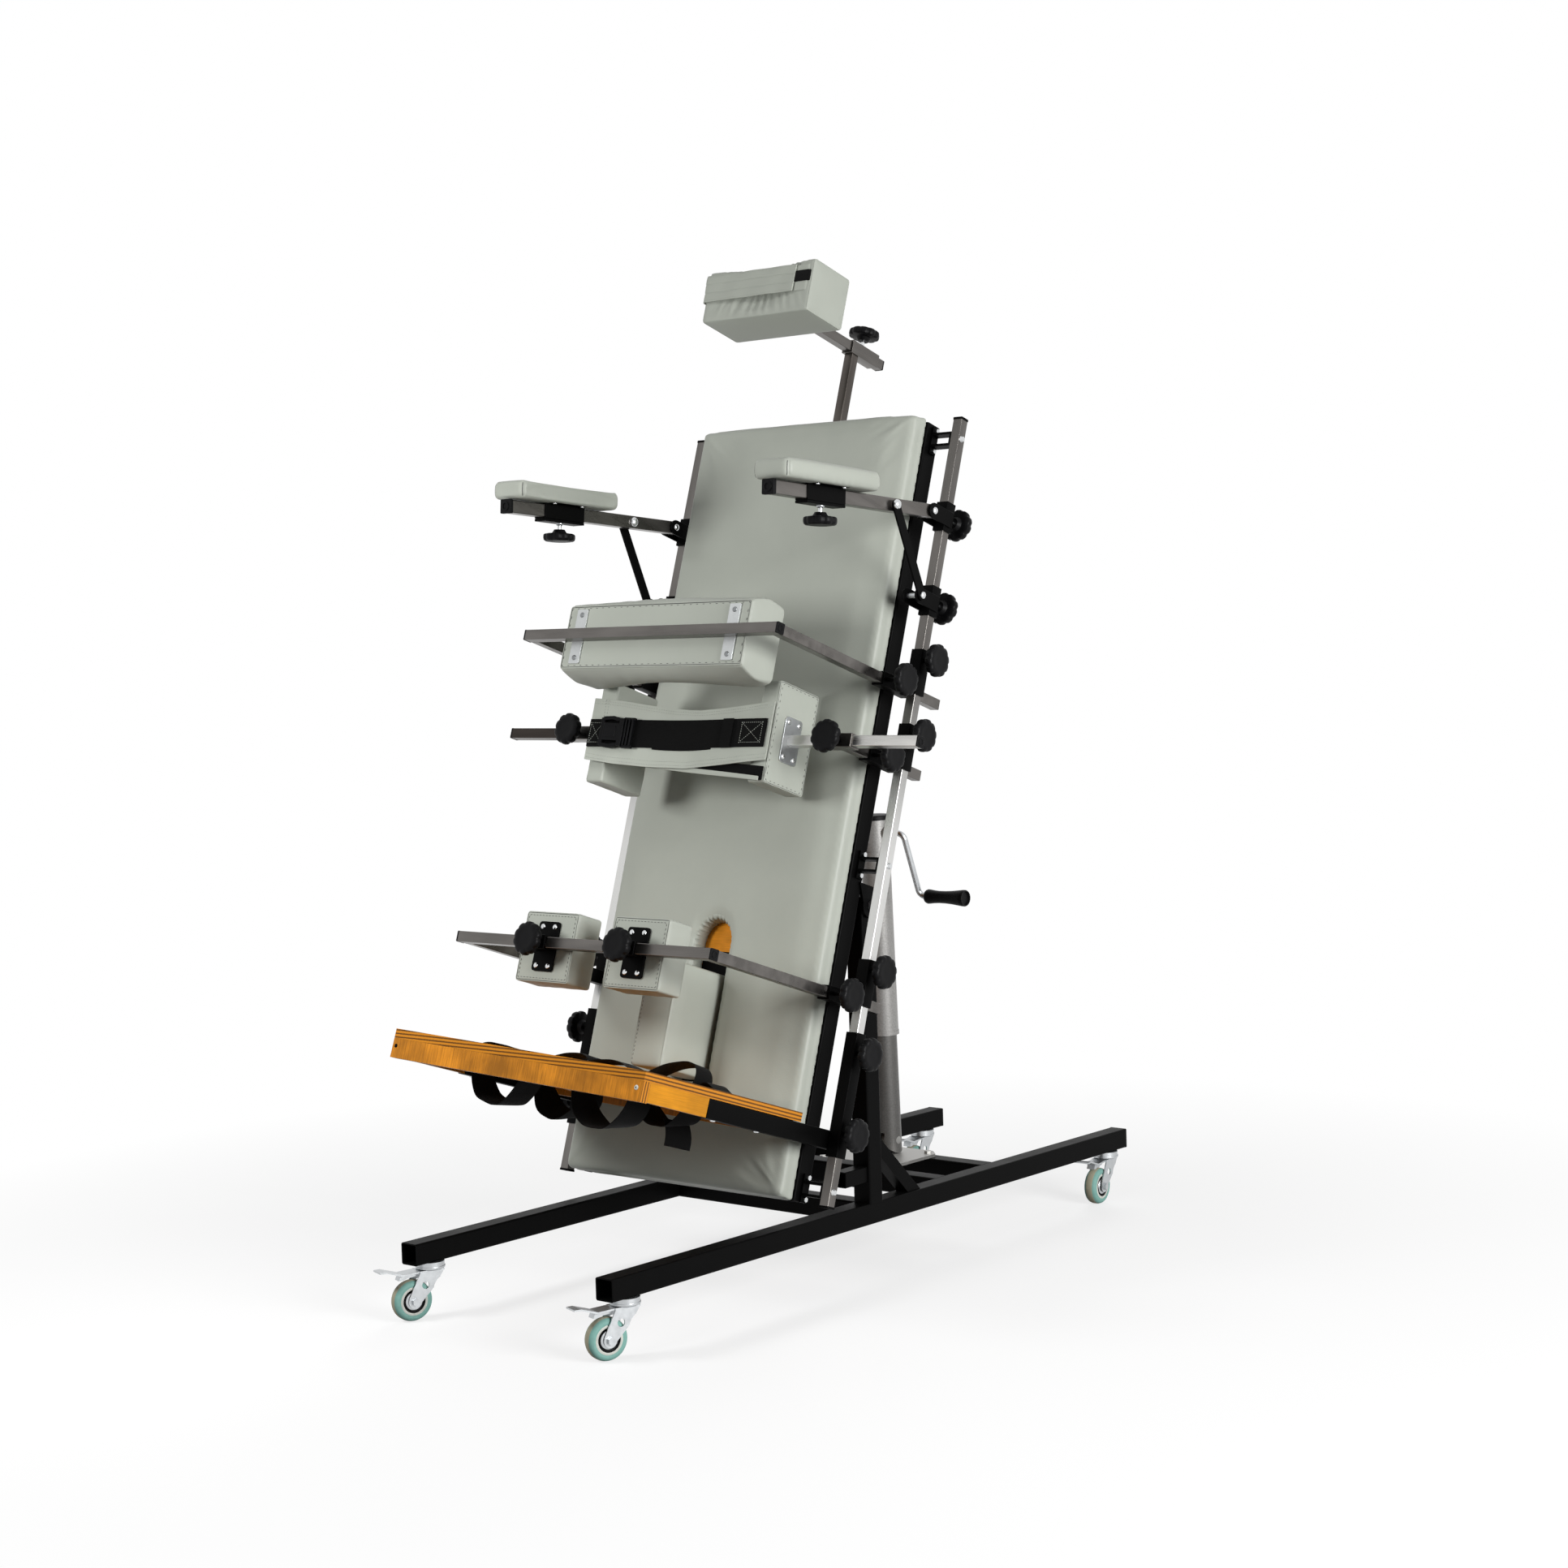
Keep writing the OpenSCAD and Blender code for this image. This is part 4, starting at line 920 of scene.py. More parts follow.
class FRAME_OT_table_cushion(bpy.types.Operator):
    """Long cushion with its keyhole slot and the rolled edge of the slot"""

    bl_idname = "frame.table_cushion"
    bl_label = "Table cushion"

    low, high, wide, thick = 203, 1704, 535, 42.5
    slot_half, slot_low, slot_arch = 44, 395, 663

    def execute(self, context):
        made = self.block()
        mesh = made.data
        back = TABLE.inverted()
        local = np.array([back @ v.co for v in mesh.vertices])
        settle(made, np.clip((local[:, 1] + 14) / 6, 0, 1), 0.003)
        local = np.array([back @ v.co for v in mesh.vertices])
        end = np.minimum(local[:, 2] - self.low, self.high - local[:, 2])
        front = np.clip((-local[:, 1] - 10) / 20, 0, 1)
        slack = np.array([noise.noise(Vector((p[0] / 190, 3.1, p[2] / 260))) for p in local]) * 1.6
        creases = np.array([noise.noise(Vector((p[0] / 60, 7.7, p[2] / 60))) for p in local]) * 1.3
        push(mesh, (slack + creases * np.exp(-end / 45)) * front)
        mesh.materials.clear()
        mesh.materials.append(finish("coated_fabric"))
        covered(made, "table", "table_cushion")
        self.slot_edge()
        return {"FINISHED"}

    def block(self):
        """Cushion with square back edges, a fuller right edge and its slot cut out, as an even mesh."""
        size = (self.wide, self.thick, self.high - self.low)
        points, where, faces = padded_block(size, 12, 24)
        square = np.clip((where[:, 1] + 0.1) / 0.5, 0, 1)[:, None]
        points = points * (1 - square) + where * (np.array(size) / 2) * square
        x = points[:, 0]
        crown = 7 * np.clip((x - 185) / 82, 0, 1) ** 2 + 2 * np.clip((-x - 200) / 67, 0, 1) ** 2
        points[:, 1] += crown * np.clip(-where[:, 1], 0, 1) - 2.5 * np.clip(-where[:, 1] * 2, 0, 1)
        points[:, 0] -= 8 * np.clip(-where[:, 0] * 3 - 2, 0, 1)
        points[:, 2] += 4 * np.clip(where[:, 2] * 5 - 4, 0, 1)
        place = at(0, (self.low + self.high) / 2, self.thick / 2 + 0.3)
        made = new_object("table_cushion_cover", set_at(place, points), faces)
        r, arch = self.slot_half, [math.pi * i / 24 for i in range(25)]
        line = [(-r, self.slot_low), (r, self.slot_low)]
        line += [(r * math.cos(a), self.slot_arch + r * math.sin(a)) for a in arch]
        cutter = new_object("slot", *prism(line, -20, 80))
        cutter.data.transform(TABLE @ TO_N)
        cut = made.modifiers.new("Slot", "BOOLEAN")
        cut.object, cut.operation, cut.solver = cutter, "DIFFERENCE", "EXACT"
        even = made.modifiers.new("Even mesh", "REMESH")
        even.mode, even.voxel_size = "VOXEL", 0.006
        graph = bpy.context.evaluated_depsgraph_get()
        mesh = bpy.data.meshes.new_from_object(made.evaluated_get(graph), depsgraph=graph)
        bpy.data.objects.remove(made)
        bpy.data.objects.remove(cutter)
        return linked("table_cushion_cover", mesh)

    def slot_edge(self):
        """Fabric rolled over the rim of the slot and pleated round its arch."""
        r, mid, low = self.slot_half - 1.5, self.slot_arch, 585
        path = [(-r, u, -1, 0) for u in np.linspace(low, mid, 50)[:-1]]
        path += [(-r * math.cos(a), mid + r * math.sin(a), -math.cos(a), math.sin(a))
                 for a in np.linspace(0, math.pi, 150)]
        path += [(r, u, 1, 0) for u in np.linspace(mid, low, 50)[1:]]
        section = [(15, 40.5), (12, 42.6), (9, 43.6), (6, 43.2), (3.2, 41.6), (1.2, 39), (0.2, 35), (0, 30), (0, 24),
                   (0, 18), (0, 13)]
        points, run = [], 0
        for i, (x, u, ox, ou) in enumerate(path):
            if i:
                run += math.hypot(x - path[i - 1][0], u - path[i - 1][1])
            arch = min(1, max(0, (u - (mid - 25)) / 40))
            for k, (out, n) in enumerate(section):
                fold = math.sin(run / 1.55 + 2.2 * noise.noise(Vector((run / 11, 1.3, 0)))) * 2.0
                fold *= min(1, k / 5) * (0.35 + 0.65 * arch) * (0.7 + 0.5 * noise.noise(Vector((run / 9, 5.0, 0))))
                reach = out - fold
                points.append((x + ox * reach, -(n - abs(fold) * 0.25), u + ou * reach))
        k = len(section)
        faces = [(i * k + j, i * k + j + 1, (i + 1) * k + j + 1, (i + 1) * k + j)
                 for i in range(len(path) - 1) for j in range(k - 1)]
        made = new_object("slot_edge_roll", set_at(TABLE, points), faces)
        made.data.materials.append(finish("coated_fabric"))
        wall = made.modifiers.new("Fabric", "SOLIDIFY")
        wall.thickness = 0.0012
        wall.offset = -1
        shade(made, 180)
        dress(made, "table")
        # A black sheet on the board inside the slot: painted shade in the gap beside the wedge
        shade_sheet = Shape().add(slab((-41.5, 41.5), (12.1, 13.2), (396, 648)), TABLE)
        piece("slot_backing", shade_sheet, ["powder_coated_steel"], "table")


class FRAME_OT_knee_wedge(bpy.types.Operator):
    """Wedge between the knees, with its front seams"""

    bl_idname = "frame.knee_wedge"
    bl_label = "Knee wedge"

    def execute(self, context):
        size = (66, 156, 203)
        place = at(0, 500.5, 12.6 + 78)

        def form(p, w):
            q = p.copy()
            q[:, 0] *= (30.5 + 10 * (1 - w[:, 1]) / 2) / 33
            return q
        made = upholstered("knee_wedge_cover", "table", "abduction_block", size, 9, 8, place, edge_hold(1, 1), form,
                           swell=0.004)
        edges = [set_at(place, [(x, -78, z) for z in np.linspace(-98, 98, 60)]) for x in (-39, 39)]
        welted("knee_wedge_welt", made, edges, "table", 0.8)
        row = set_at(place, [(-33, -80, z) for z in np.linspace(-97, 97, 60)])
        stitched("knee_wedge_stitching", made, [row], "table")
        return {"FINISHED"}


class FRAME_OT_head_pad(bpy.types.Operator):
    """Head pad with gathered face, and its band with sewn channels"""

    bl_idname = "frame.head_pad"
    bl_label = "Head pad"

    up, half, front, back, band_u = (0, 0, 1), 135.5, 254.5, 203, 1911

    def execute(self, context):
        size = (264, 110, 105)
        place = at(1, 1896, 195.8)

        def form(p, w):
            q = p.copy()
            hollow_in = 22 * np.cos(np.pi / 2 * np.clip(w[:, 0], -1, 1)) ** 2
            hollow_in *= np.clip(0.72 + 0.42 * w[:, 2] - 0.35 * w[:, 2] ** 4, 0.1, 1)
            q[:, 1] += hollow_in * (1 - w[:, 1]) / 2
            return q

        def pleat(p, w):
            face = np.clip(-w[:, 1], 0, 1) ** 3 * np.clip(1.15 - np.abs(w[:, 0]) * 1.2, 0, 1)
            face *= np.clip((w[:, 2] + 1) * 2.2, 0, 1)
            fold = np.sin(p[:, 0] / 2.9 + 4.0 * ripple(p[:, 0], 9.0, 34) + 0.012 * p[:, 2] * p[:, 0] / 10)
            return 4.6 * face * (0.45 + 0.8 * ripple(p[:, 0], 4.0, 21)) * fold
        made = upholstered("head_pad_cover", "head", "head_pad", size, 6, 4, place, edge_hold(1, 1, 0.8), form, pleat,
                           swell=0.004)
        welted("head_pad_welt", made, [rim(place, size, (0, s)) for s in (-1, 1)], "head", 1.1)
        self.band()
        return {"FINISHED"}

    def flat(self, x0, x1, count, n):
        return [((x, -n, 0), self.up, (0, -1, 0)) for x in np.linspace(x0, x1, count)]

    def curled(self, x0, x1, count, n, r, end):
        """A tab that lies flat from x0 to x1 and then curls back."""
        return self.flat(x0, x1, count, n) + [
            ((x1 + r * math.sin(a), -(n - r + r * math.cos(a)), 0), self.up, (math.sin(a), -math.cos(a), 0))
            for a in np.linspace(0.3, end, 5)]

    def band(self):
        half, face, r = self.half, self.front, 7
        place = at(0, self.band_u, 0)
        path = [((-half, -n, 0), self.up, (-1, 0, 0)) for n in np.linspace(self.back, face - r, 12)]
        path += [((-half + r - r * math.cos(a), -(face - r + r * math.sin(a)), 0), self.up,
                  (-math.cos(a), -math.sin(a), 0)) for a in np.linspace(0.15, math.pi / 2 - 0.15, 6)]
        path += self.flat(-half + r, 92, 46, face)

        def waves(run, c):
            channel = -0.9 * math.exp(-((abs(c) - 0.34) / 0.05) ** 2)
            return channel + 1.5 * noise.noise(Vector((run / 38, c * 0.8, 2.0))) + 0.5
        made = strap_piece("head_band", ribbon(path, 27, 3.2, 24, waves), place, "head", "coated_fabric",
                           ("head_strap",))
        rows = [set_at(place, [(x, -face - 3, z) for x in np.linspace(-half + 8, 90, 60)]) for z in (-9, 9, -24, 24)]
        stitched("head_band_stitching", made, rows, "head", "pale_thread", 0.0, 0.0032, 0.005)
        tape = self.curled(86, 121, 10, face - 1.4, 8, 1.4)
        strap_piece("head_band_hook_tape", ribbon(tape, 11, 2.4, 6), at(0, self.band_u + 3, 0), "head")
        tab = self.curled(70, 118, 14, face - 3.6, 10, 1.5)
        strap_piece("head_band_tab", ribbon(tab, 26, 2, 10), place, "head", "coated_fabric")


class FRAME_OT_arm_pads(bpy.types.Operator):
    """Arm pads with crowned tops"""

    bl_idname = "frame.arm_pads"
    bl_label = "Arm pads"

    def execute(self, context):
        size = (86, 272, 35)
        for k, side in SIDES.items():
            place, body = on_arm(side) @ moved(0, -326, 15.3 + 17.5), f"arm_carriage_{k}"

            def pleat(p, w):
                low = np.clip(-w[:, 2], 0, 1) * (np.abs(w[:, :2]).max(axis=1) > 0.9)
                return 1.2 * low * ripple(p[:, 0] + p[:, 1], 2.0 + side, 9)

            def form(p, w):
                q = p.copy()
                q[:, :2] *= (1 - 0.035 * np.abs(w[:, 0] * w[:, 1]) ** 6)[:, None]
                q[:, 2] += 3 * (1 - w[:, 0] ** 2) * (1 - w[:, 1] ** 4) * np.clip(w[:, 2], 0, 1)
                return q
            made = upholstered(f"arm_pad_cover_{k}", body, f"arm_pad_{k}", size, 12, 5.5, place, edge_hold(2, -1), form,
                               pleat, swell=0.004)
            if side < 0:
                made.data.flip_normals()
            # Dark welts of thread colour at the end corners: painted shade along the sewn edges
            seams = [set_at(place, [(x, -133, z) for z in np.linspace(-17, 14, 20)]) for x in (41, -41)]
            welted(f"arm_pad_seam_{k}", made, seams, body, 0.7, 0.1, "sewing_thread")
        return {"FINISHED"}


class FRAME_OT_chest_pad(bpy.types.Operator):
    """Chest pad, hollowed towards the patient, with its sewn front panel"""

    bl_idname = "frame.chest_pad"
    bl_label = "Chest pad"

    def execute(self, context):
        size = (456, 94, 126)
        place = at(0, CHEST_U - 0.5, 355.2 - 47)

        def form(p, w):
            q = p.copy()
            q[:, 1] -= 42 * np.cos(np.pi / 2 * np.clip(w[:, 0], -1, 1)) ** 2 * (1 + w[:, 1]) / 2
            full = np.sin(np.pi / 2 * np.clip((1 + w[:, 1]) / 2 * 1.35, 0, 1))
            q[:, 2] += np.where(w[:, 2] < 0, 15 * w[:, 2], 17 * w[:, 2]) * full
            blunt = np.clip(np.abs(w[:, 0]) - 0.9, 0, 0.1) / 0.1 * np.clip(w[:, 1], 0, 1)
            q[:, 2] -= 10 * w[:, 2] * blunt
            return q

        def pleat(p, w):
            side = np.clip(np.abs(w[:, 2]), 0, 1) ** 4 * np.clip(1 - np.abs(w[:, 1]), 0, 1)
            return 1.6 * side * ripple(p[:, 0], 6.0, 24)
        made = upholstered("chest_pad_cover", "chest", "chest_pad", size, 7, 6.5, place, edge_hold(1, -1, 0.8), form,
                           pleat, swell=0.007)
        ends = [set_at(place, [(x, -46, z) for z in np.linspace(-55, 55, 30)]) for x in (-225, 225)]
        trimmed("chest_pad", "", made, "chest", (place, size, (1, -1)), (1.5, 1.8), (3.6, 0.9, 0.1),
                (7, 0.016, 0.006), ends)
        return {"FINISHED"}


class FRAME_OT_hip_pads(bpy.types.Operator):
    """Upright hip pads with stitched outer panels"""

    bl_idname = "frame.hip_pads"
    bl_label = "Hip pads"

    def execute(self, context):
        size = (41, 117, 196)
        for k, side in SIDES.items():
            place = sided(side) @ shift(HIP_PLATE[k] - 0.4 - 20.5, HIP_U + HIP_RISE[k], HIP_N[k] - 4.5)

            def pleat(p, w):
                edge = (np.abs(w) > 0.8).sum(axis=1) >= 2
                return 0.9 * edge * ripple(p[:, 1] + p[:, 2], 3.0 + side, 15)
            made = upholstered(f"hip_pad_cover_{k}", f"hip_{k}", f"hip_pad_{k}", size, 6, 5.5, place,
                               edge_hold(0, 1, 0.85), pleat=pleat)
            if side < 0:
                made.data.flip_normals()
            trimmed("hip_pad", f"_{k}", made, f"hip_{k}", (place, size, (0, 1)), (1, 1.1), (2.8, 0.5, 0.0),
                    (7, 0.0125, 0.0055))
        return {"FINISHED"}


class FRAME_OT_hip_belt(bpy.types.Operator):
    """Belt across the hips: fabric band, webbing, its stitching and the buckle"""

    bl_idname = "frame.hip_belt"
    bl_label = "Hip belt"

    x0, x1, left, right = -214, 190, 254, 200

    def along(self, x):
        return (x - self.x0) / (self.x1 - self.x0)

    def face(self, x, out=0.0):
        """Height of the belt's face over the table at x."""
        t = 2 * self.along(x) - 1
        straight = (self.left + self.right) / 2 + t * (self.right - self.left) / 2
        return straight - 12 * math.cos(math.pi / 2 * t) ** 2 + out

    def middle(self, x):
        """Line of the webbing, which hangs lower at the buckle."""
        return -17 + 16 * self.along(x)

    def edges(self, x):
        """Lower and upper edge of the band at x."""
        t = self.along(x)
        low = np.interp(t, (0, 0.15, 0.35, 0.55, 0.85, 1), (-51, -59, -64, -66, -57, -51))
        high = np.interp(t, (0, 0.15, 0.3, 0.45, 0.6, 0.85, 1), (69, 64, 56, 49, 46, 53, 60))
        return low + self.middle(x), high + self.middle(x)

    def path(self, a, b, count, out, height):
        line = []
        for x in np.linspace(a, b, count):
            slope = (self.face(x + 1) - self.face(x - 1)) / 2
            line.append(((x, -self.face(x, out), height(x)), (0, 0, 1), Vector((-slope, -1, 0)).normalized()))
        return line

    def execute(self, context):
        place, body = at(0, HIP_U, 0), "hip_arms"

        def tall(t):
            low, high = self.edges(self.x0 + t * (self.x1 - self.x0))
            return (high - low) / 2
        band = ribbon(self.path(self.x0, self.x1, 80, 2.8, lambda x: sum(self.edges(x)) / 2), tall, 3.4, 22,
                      lambda run, c: 2.4 * noise.noise(Vector((run / 42, c * 1.3, 4.0))) * abs(c) + 1.5 * abs(c) ** 6)
        made = strap_piece("hip_belt_band", band, place, body, "coated_fabric", ("hip_belt",))
        hems = [set_at(place, [(x, -self.face(x, 6), self.edges(x)[k] + inset)
                               for x in np.linspace(self.x0 + 4, self.x1 - 4, 100)])
                for k, inset in ((0, 5), (0, 12), (1, -5), (1, -10))]
        hems += [set_at(place, [(x, -self.face(x, 6), z) for z in np.linspace(12, 48, 20)]) for x in (-186, -180)]
        stitched("hip_belt_hem_stitching", made, hems, body, "pale_thread", 0.1, 0.0034, 0.0055)
        lining = ribbon(self.path(-130, self.x1 - 6, 50, -3.5, lambda x: -54 - 22 * self.along(x)), 13, 2, 8)
        strap_piece("hip_belt_lining", lining, place, body, "fabric_lining")
        strip = ribbon(self.path(self.x0 + 2, self.x1 - 12, 60, -1, lambda x: -60 - 27 * self.along(x)),
                       lambda t: 6 - 2 * t, 3, 6)
        strap_piece("hip_belt_lower_hem", strip, place, body, "coated_fabric")
        web = [ribbon(self.path(-212, 183, 90, 6.4, self.middle), 27, 2.2, 10),
               ribbon(self.path(-70, 62, 30, 5.6, lambda x: self.middle(x) - 26),
                      lambda t: 4 + 8 * t * (1 - t), 1.6, 6),
               ribbon(self.path(118, 182, 14, 8.6, self.middle), 26.6, 2, 8),
               ribbon(self.path(84, 108, 8, 9, self.middle), 28, 2.4, 8),
               ribbon(self.path(-211, -176, 8, 8.6, self.middle), 26.6, 2, 8)]
        strap = strap_piece("hip_belt_webbing", web, place, body)
        rows = []
        for lo, hi in ((130, 176), (-207, -181)):
            c = [(lo, -19), (lo, 19), (hi, 19), (hi, -19), (lo, -19)]
            for start, end in [*zip(c, c[1:]), (c[0], c[2]), (c[1], c[3])]:
                rows.append(set_at(place, [(x, -self.face(x, 12), z + self.middle(x))
                                           for x, z in np.linspace(start, end, 20)]))
        stitched("hip_belt_box_stitching", strap, rows, body, "pale_thread", 0.1, 0.0028, 0.0042)
        self.buckle()
        return {"FINISHED"}

    def buckle(self):
        """Side-release buckle: socket with side arms, and the prong half with its strap bars."""
        x = -148
        place = at(x, HIP_U + self.middle(x), self.face(x, 7.6)) @ turned(math.radians(9), "Z")
        shape = Shape().add(slab((-36, -28), (0, 8), (-27, 27)), place)
        for s in (-1, 1):
            arm = [(-36, s * 22), (-30, s * 29), (-8, s * 31), (6, s * 28), (10, s * 24), (4, s * 21), (-10, s * 24),
                   (-28, s * 22)]
            shape.add(prism(arm[::s], 1, 9.6), place @ TO_N)
        for block in (((-27, 8), (0.4, 10.4), (-17, 17)), ((-22, 2), (10.2, 11.4), (-11, 11)),
                      ((8, 18), (0.2, 11.2), (-27, 27))):
            shape.add(slab(*block), place)
        for bar in (21.5, 28.5, 36):
            shape.add(slab((bar - 2, bar + 2), (1.5, 9), (-26, 26)), place)
        for s in (-1, 1):
            shape.add(slab((16, 40), (0.6, 7.5), (s * 27 - 2.5, s * 27 + 2.5)), place)
        black_piece("hip_buckle_body", shape, "hip_arms", ("hip_buckle",), 1.0)


class FRAME_OT_knee_pads(bpy.types.Operator):
    """Boxy knee pads with stitched front panels"""

    bl_idname = "frame.knee_pads"
    bl_label = "Knee pads"

    def execute(self, context):
        size = (134, 63, 131)
        front = KNEE_FRONT - RAIL / 2 - SLEEVE / 2 - 3.2
        for k, side in SIDES.items():
            place = at(KNEE_X[k], KNEE_U - 4.5, front - 0.3 - 31.5)

            def pleat(p, w):
                edge = np.clip(np.abs(w[:, [0, 2]]).max(axis=1), 0, 1) ** 6 * np.clip(1.1 - np.abs(w[:, 1]), 0, 1)
                return 1.7 * edge * ripple(p[:, 0] + p[:, 2], 5.0 + side, 17)
            made = upholstered(f"knee_pad_cover_{k}", f"knee_{k}", f"knee_pad_{k}", size, 6, 5.2, place,
                               edge_hold(1, -1, 0.85), pleat=pleat)
            trimmed("knee_pad", f"_{k}", made, f"knee_{k}", (place, size, (1, -1)), (0.5, 1.4), (2.6, 0.7, 0.0),
                    (7.5, 0.008, 0.0052))
        return {"FINISHED"}


class FRAME_OT_foot_board(bpy.types.Operator):
    """Plywood foot board with lip, battens, block and screws"""

    bl_idname = "frame.foot_board"
    bl_label = "Foot board"

    def execute(self, context):
        half, n0, n1, under = RAIL_X - SLEEVE / 2, 74, 501, FOOT_UNDER - 0.2
        shape = Shape()
        top, edge, lip, end, batten = range(5)
        spans = [-half, -198, -192, -68, -62, 62, 68, 192, 198, half]
        rows = [n0, 198, 252, 353, 407, n1]

        def solid(i, j):
            """Whether a cell of the board is wood: a slot is where an odd span meets an odd row."""
            return 0 <= i < len(spans) - 1 and 0 <= j < len(rows) - 1 and (i % 2 == 0 or j % 2 == 0)
        for i in range(len(spans) - 1):
            for j in range(len(rows) - 1):
                if solid(i, j):
                    points, faces = slab(spans[i:i + 2], rows[j:j + 2], (FOOT_UNDER, FOOT_TOP))
                    shape.add((points, faces[:2]), FOOT, top)
                    for face, di, dj in zip(faces[2:], (0, 0, -1, 1), (1, -1, 0, 0)):
                        if not solid(i + di, j + dj):
                            shape.add((points, [face]), FOOT, edge)
        lips, blocks = [end, end, lip, lip, end, end], [batten] * 6
        for x, n, low, kinds in (((-half, half), (n1 - 18, n1), 36, lips),
                                 ((-half + 24, half - 24), (n0, n0 + 18), 30, lips),
                                 ((-half, -half + 20), (329, n1 - 18.2), 34, blocks),
                                 ((half - 20, half), (329, n1 - 18.2), 34, blocks),
                                 ((-22, 18), (300, 340), 30, blocks)):
            points, faces = slab(x, n, (FOOT_UNDER - low, under))
            for face, kind in zip(faces, kinds):
                shape.add((points, [face]), FOOT, kind)
        names = ["veneer_along_x", "ply_edge_u", "veneer_along_u", "ply_edge_n", "pale_batten"]
        piece("foot_board_wood", shape, names, "foot", ("foot_board",), bevel=0.9)
        cap, hole = (FOOT @ moved(half - 14, -n1 - v, FOOT_UNDER - 13) @ TO_N for v in (0, 1.3))
        set_on_points("foot_board_cap", dome(4.4, 1.6), [cap], "pale_rim", "foot")
        screws = [hole @ Matrix.Scale(0.4, 4), FOOT @ moved(-half + 9, -n1, FOOT_UNDER - 14) @ TO_N]
        set_on_points("foot_board_screws", dome(3.6, 1.4), screws, "powder_coated_steel", "foot")
        below = [sided(s) @ shift(half - 10, foot_arm_u(s) - 17.4, n) @ DOWN for s in (1, -1) for n in (180, 300)]
        set_on_points("foot_arm_screws", dome(5, 2.4), below, "bright_chrome", "foot")
        return {"FINISHED"}


class FRAME_OT_foot_loops(bpy.types.Operator):
    """Webbing loops through the slots of the foot board"""

    bl_idname = "frame.foot_loops"
    bl_label = "Foot loops"

    half = 65

    def execute(self, context):
        # Place across and out, rise over the board, fall below it, and the lean of each bow
        loops = {"heel_l": (-130, 225, 26, 74, 42, 16), "heel_r": (130, 225, 42, 54, 40, 12),
                 "toe_l": (-130, 380, 9, 76, -25, 0), "toe_r": (130, 380, 14, 86, 8, 8)}
        for label, (x, n, high, low, *leans) in loops.items():
            seed = x * 0.013 + n * 0.0071
            path = self.bow(high, FOOT_TOP, 1, leans[0], seed) + self.bow(low, FOOT_UNDER, -1, leans[1], seed)
            strips = [path + path[:1]] + (self.ends() if label == "heel_r" else [])
            parts = [ribbon(strip, 25, 2.0, 8, lambda run, c: 0.9 * noise.noise(Vector((run / 30, c, seed))))
                     for strip in strips]
            made = strap_piece(f"foot_loop_{label}", parts, FOOT @ moved(x, -n, 0), "foot",
                               stands_for=("foot_straps",) if label == "heel_l" else ())
        return {"FINISHED"}

    def bow(self, rise, z0, sign, lean, seed):
        """One side of a loop, an arc over the board (sign 1) or slacker below it (sign -1)."""
        r = (self.half ** 2 + rise * rise) / (2 * rise)
        reach = math.asin(min(1, self.half / r)) if rise < self.half else math.pi - math.asin(self.half / r)
        slack, twist = (2.2, 0.0) if sign > 0 else (7, 0.45)
        path = []
        for a in np.linspace(-reach, reach, 34):
            bow = math.cos(a / reach * math.pi / 2)
            spot = Vector((r * math.sin(a) * sign + lean * bow, 0, z0 + sign * (rise - r + r * math.cos(a))))
            sag = noise.noise(Vector((a * 1.4 + seed, seed, sign))) * slack * bow
            turn = (0.35 * noise.noise(Vector((a * 0.9, seed, 3.3 * sign))) + twist) * bow
            out = Vector((math.sin(a) * sign, 0, sign * math.cos(a)))
            path.append((spot + out * sag, (turn, 1, turn * 0.6), out))
        return path

    def ends(self):
        """Free ends of the right heel strap: one lies on the board, one hangs below it."""
        lying = [((self.half + 62 * t, 0, FOOT_TOP + 2.5 + 11 * math.sin(math.pi * t) ** 2), (0, 1, 0), (0, 0, 1))
                 for t in np.linspace(0, 1, 14)]
        hung = [((26 + 5 * math.sin(3 * t), 50 * t * math.sin(TILT), FOOT_UNDER - 44 - 50 * t * math.cos(TILT)),
                 (0.5, 0.85, 0), (0.85, -0.5, 0)) for t in np.linspace(0, 1, 12)]
        return [lying, hung]


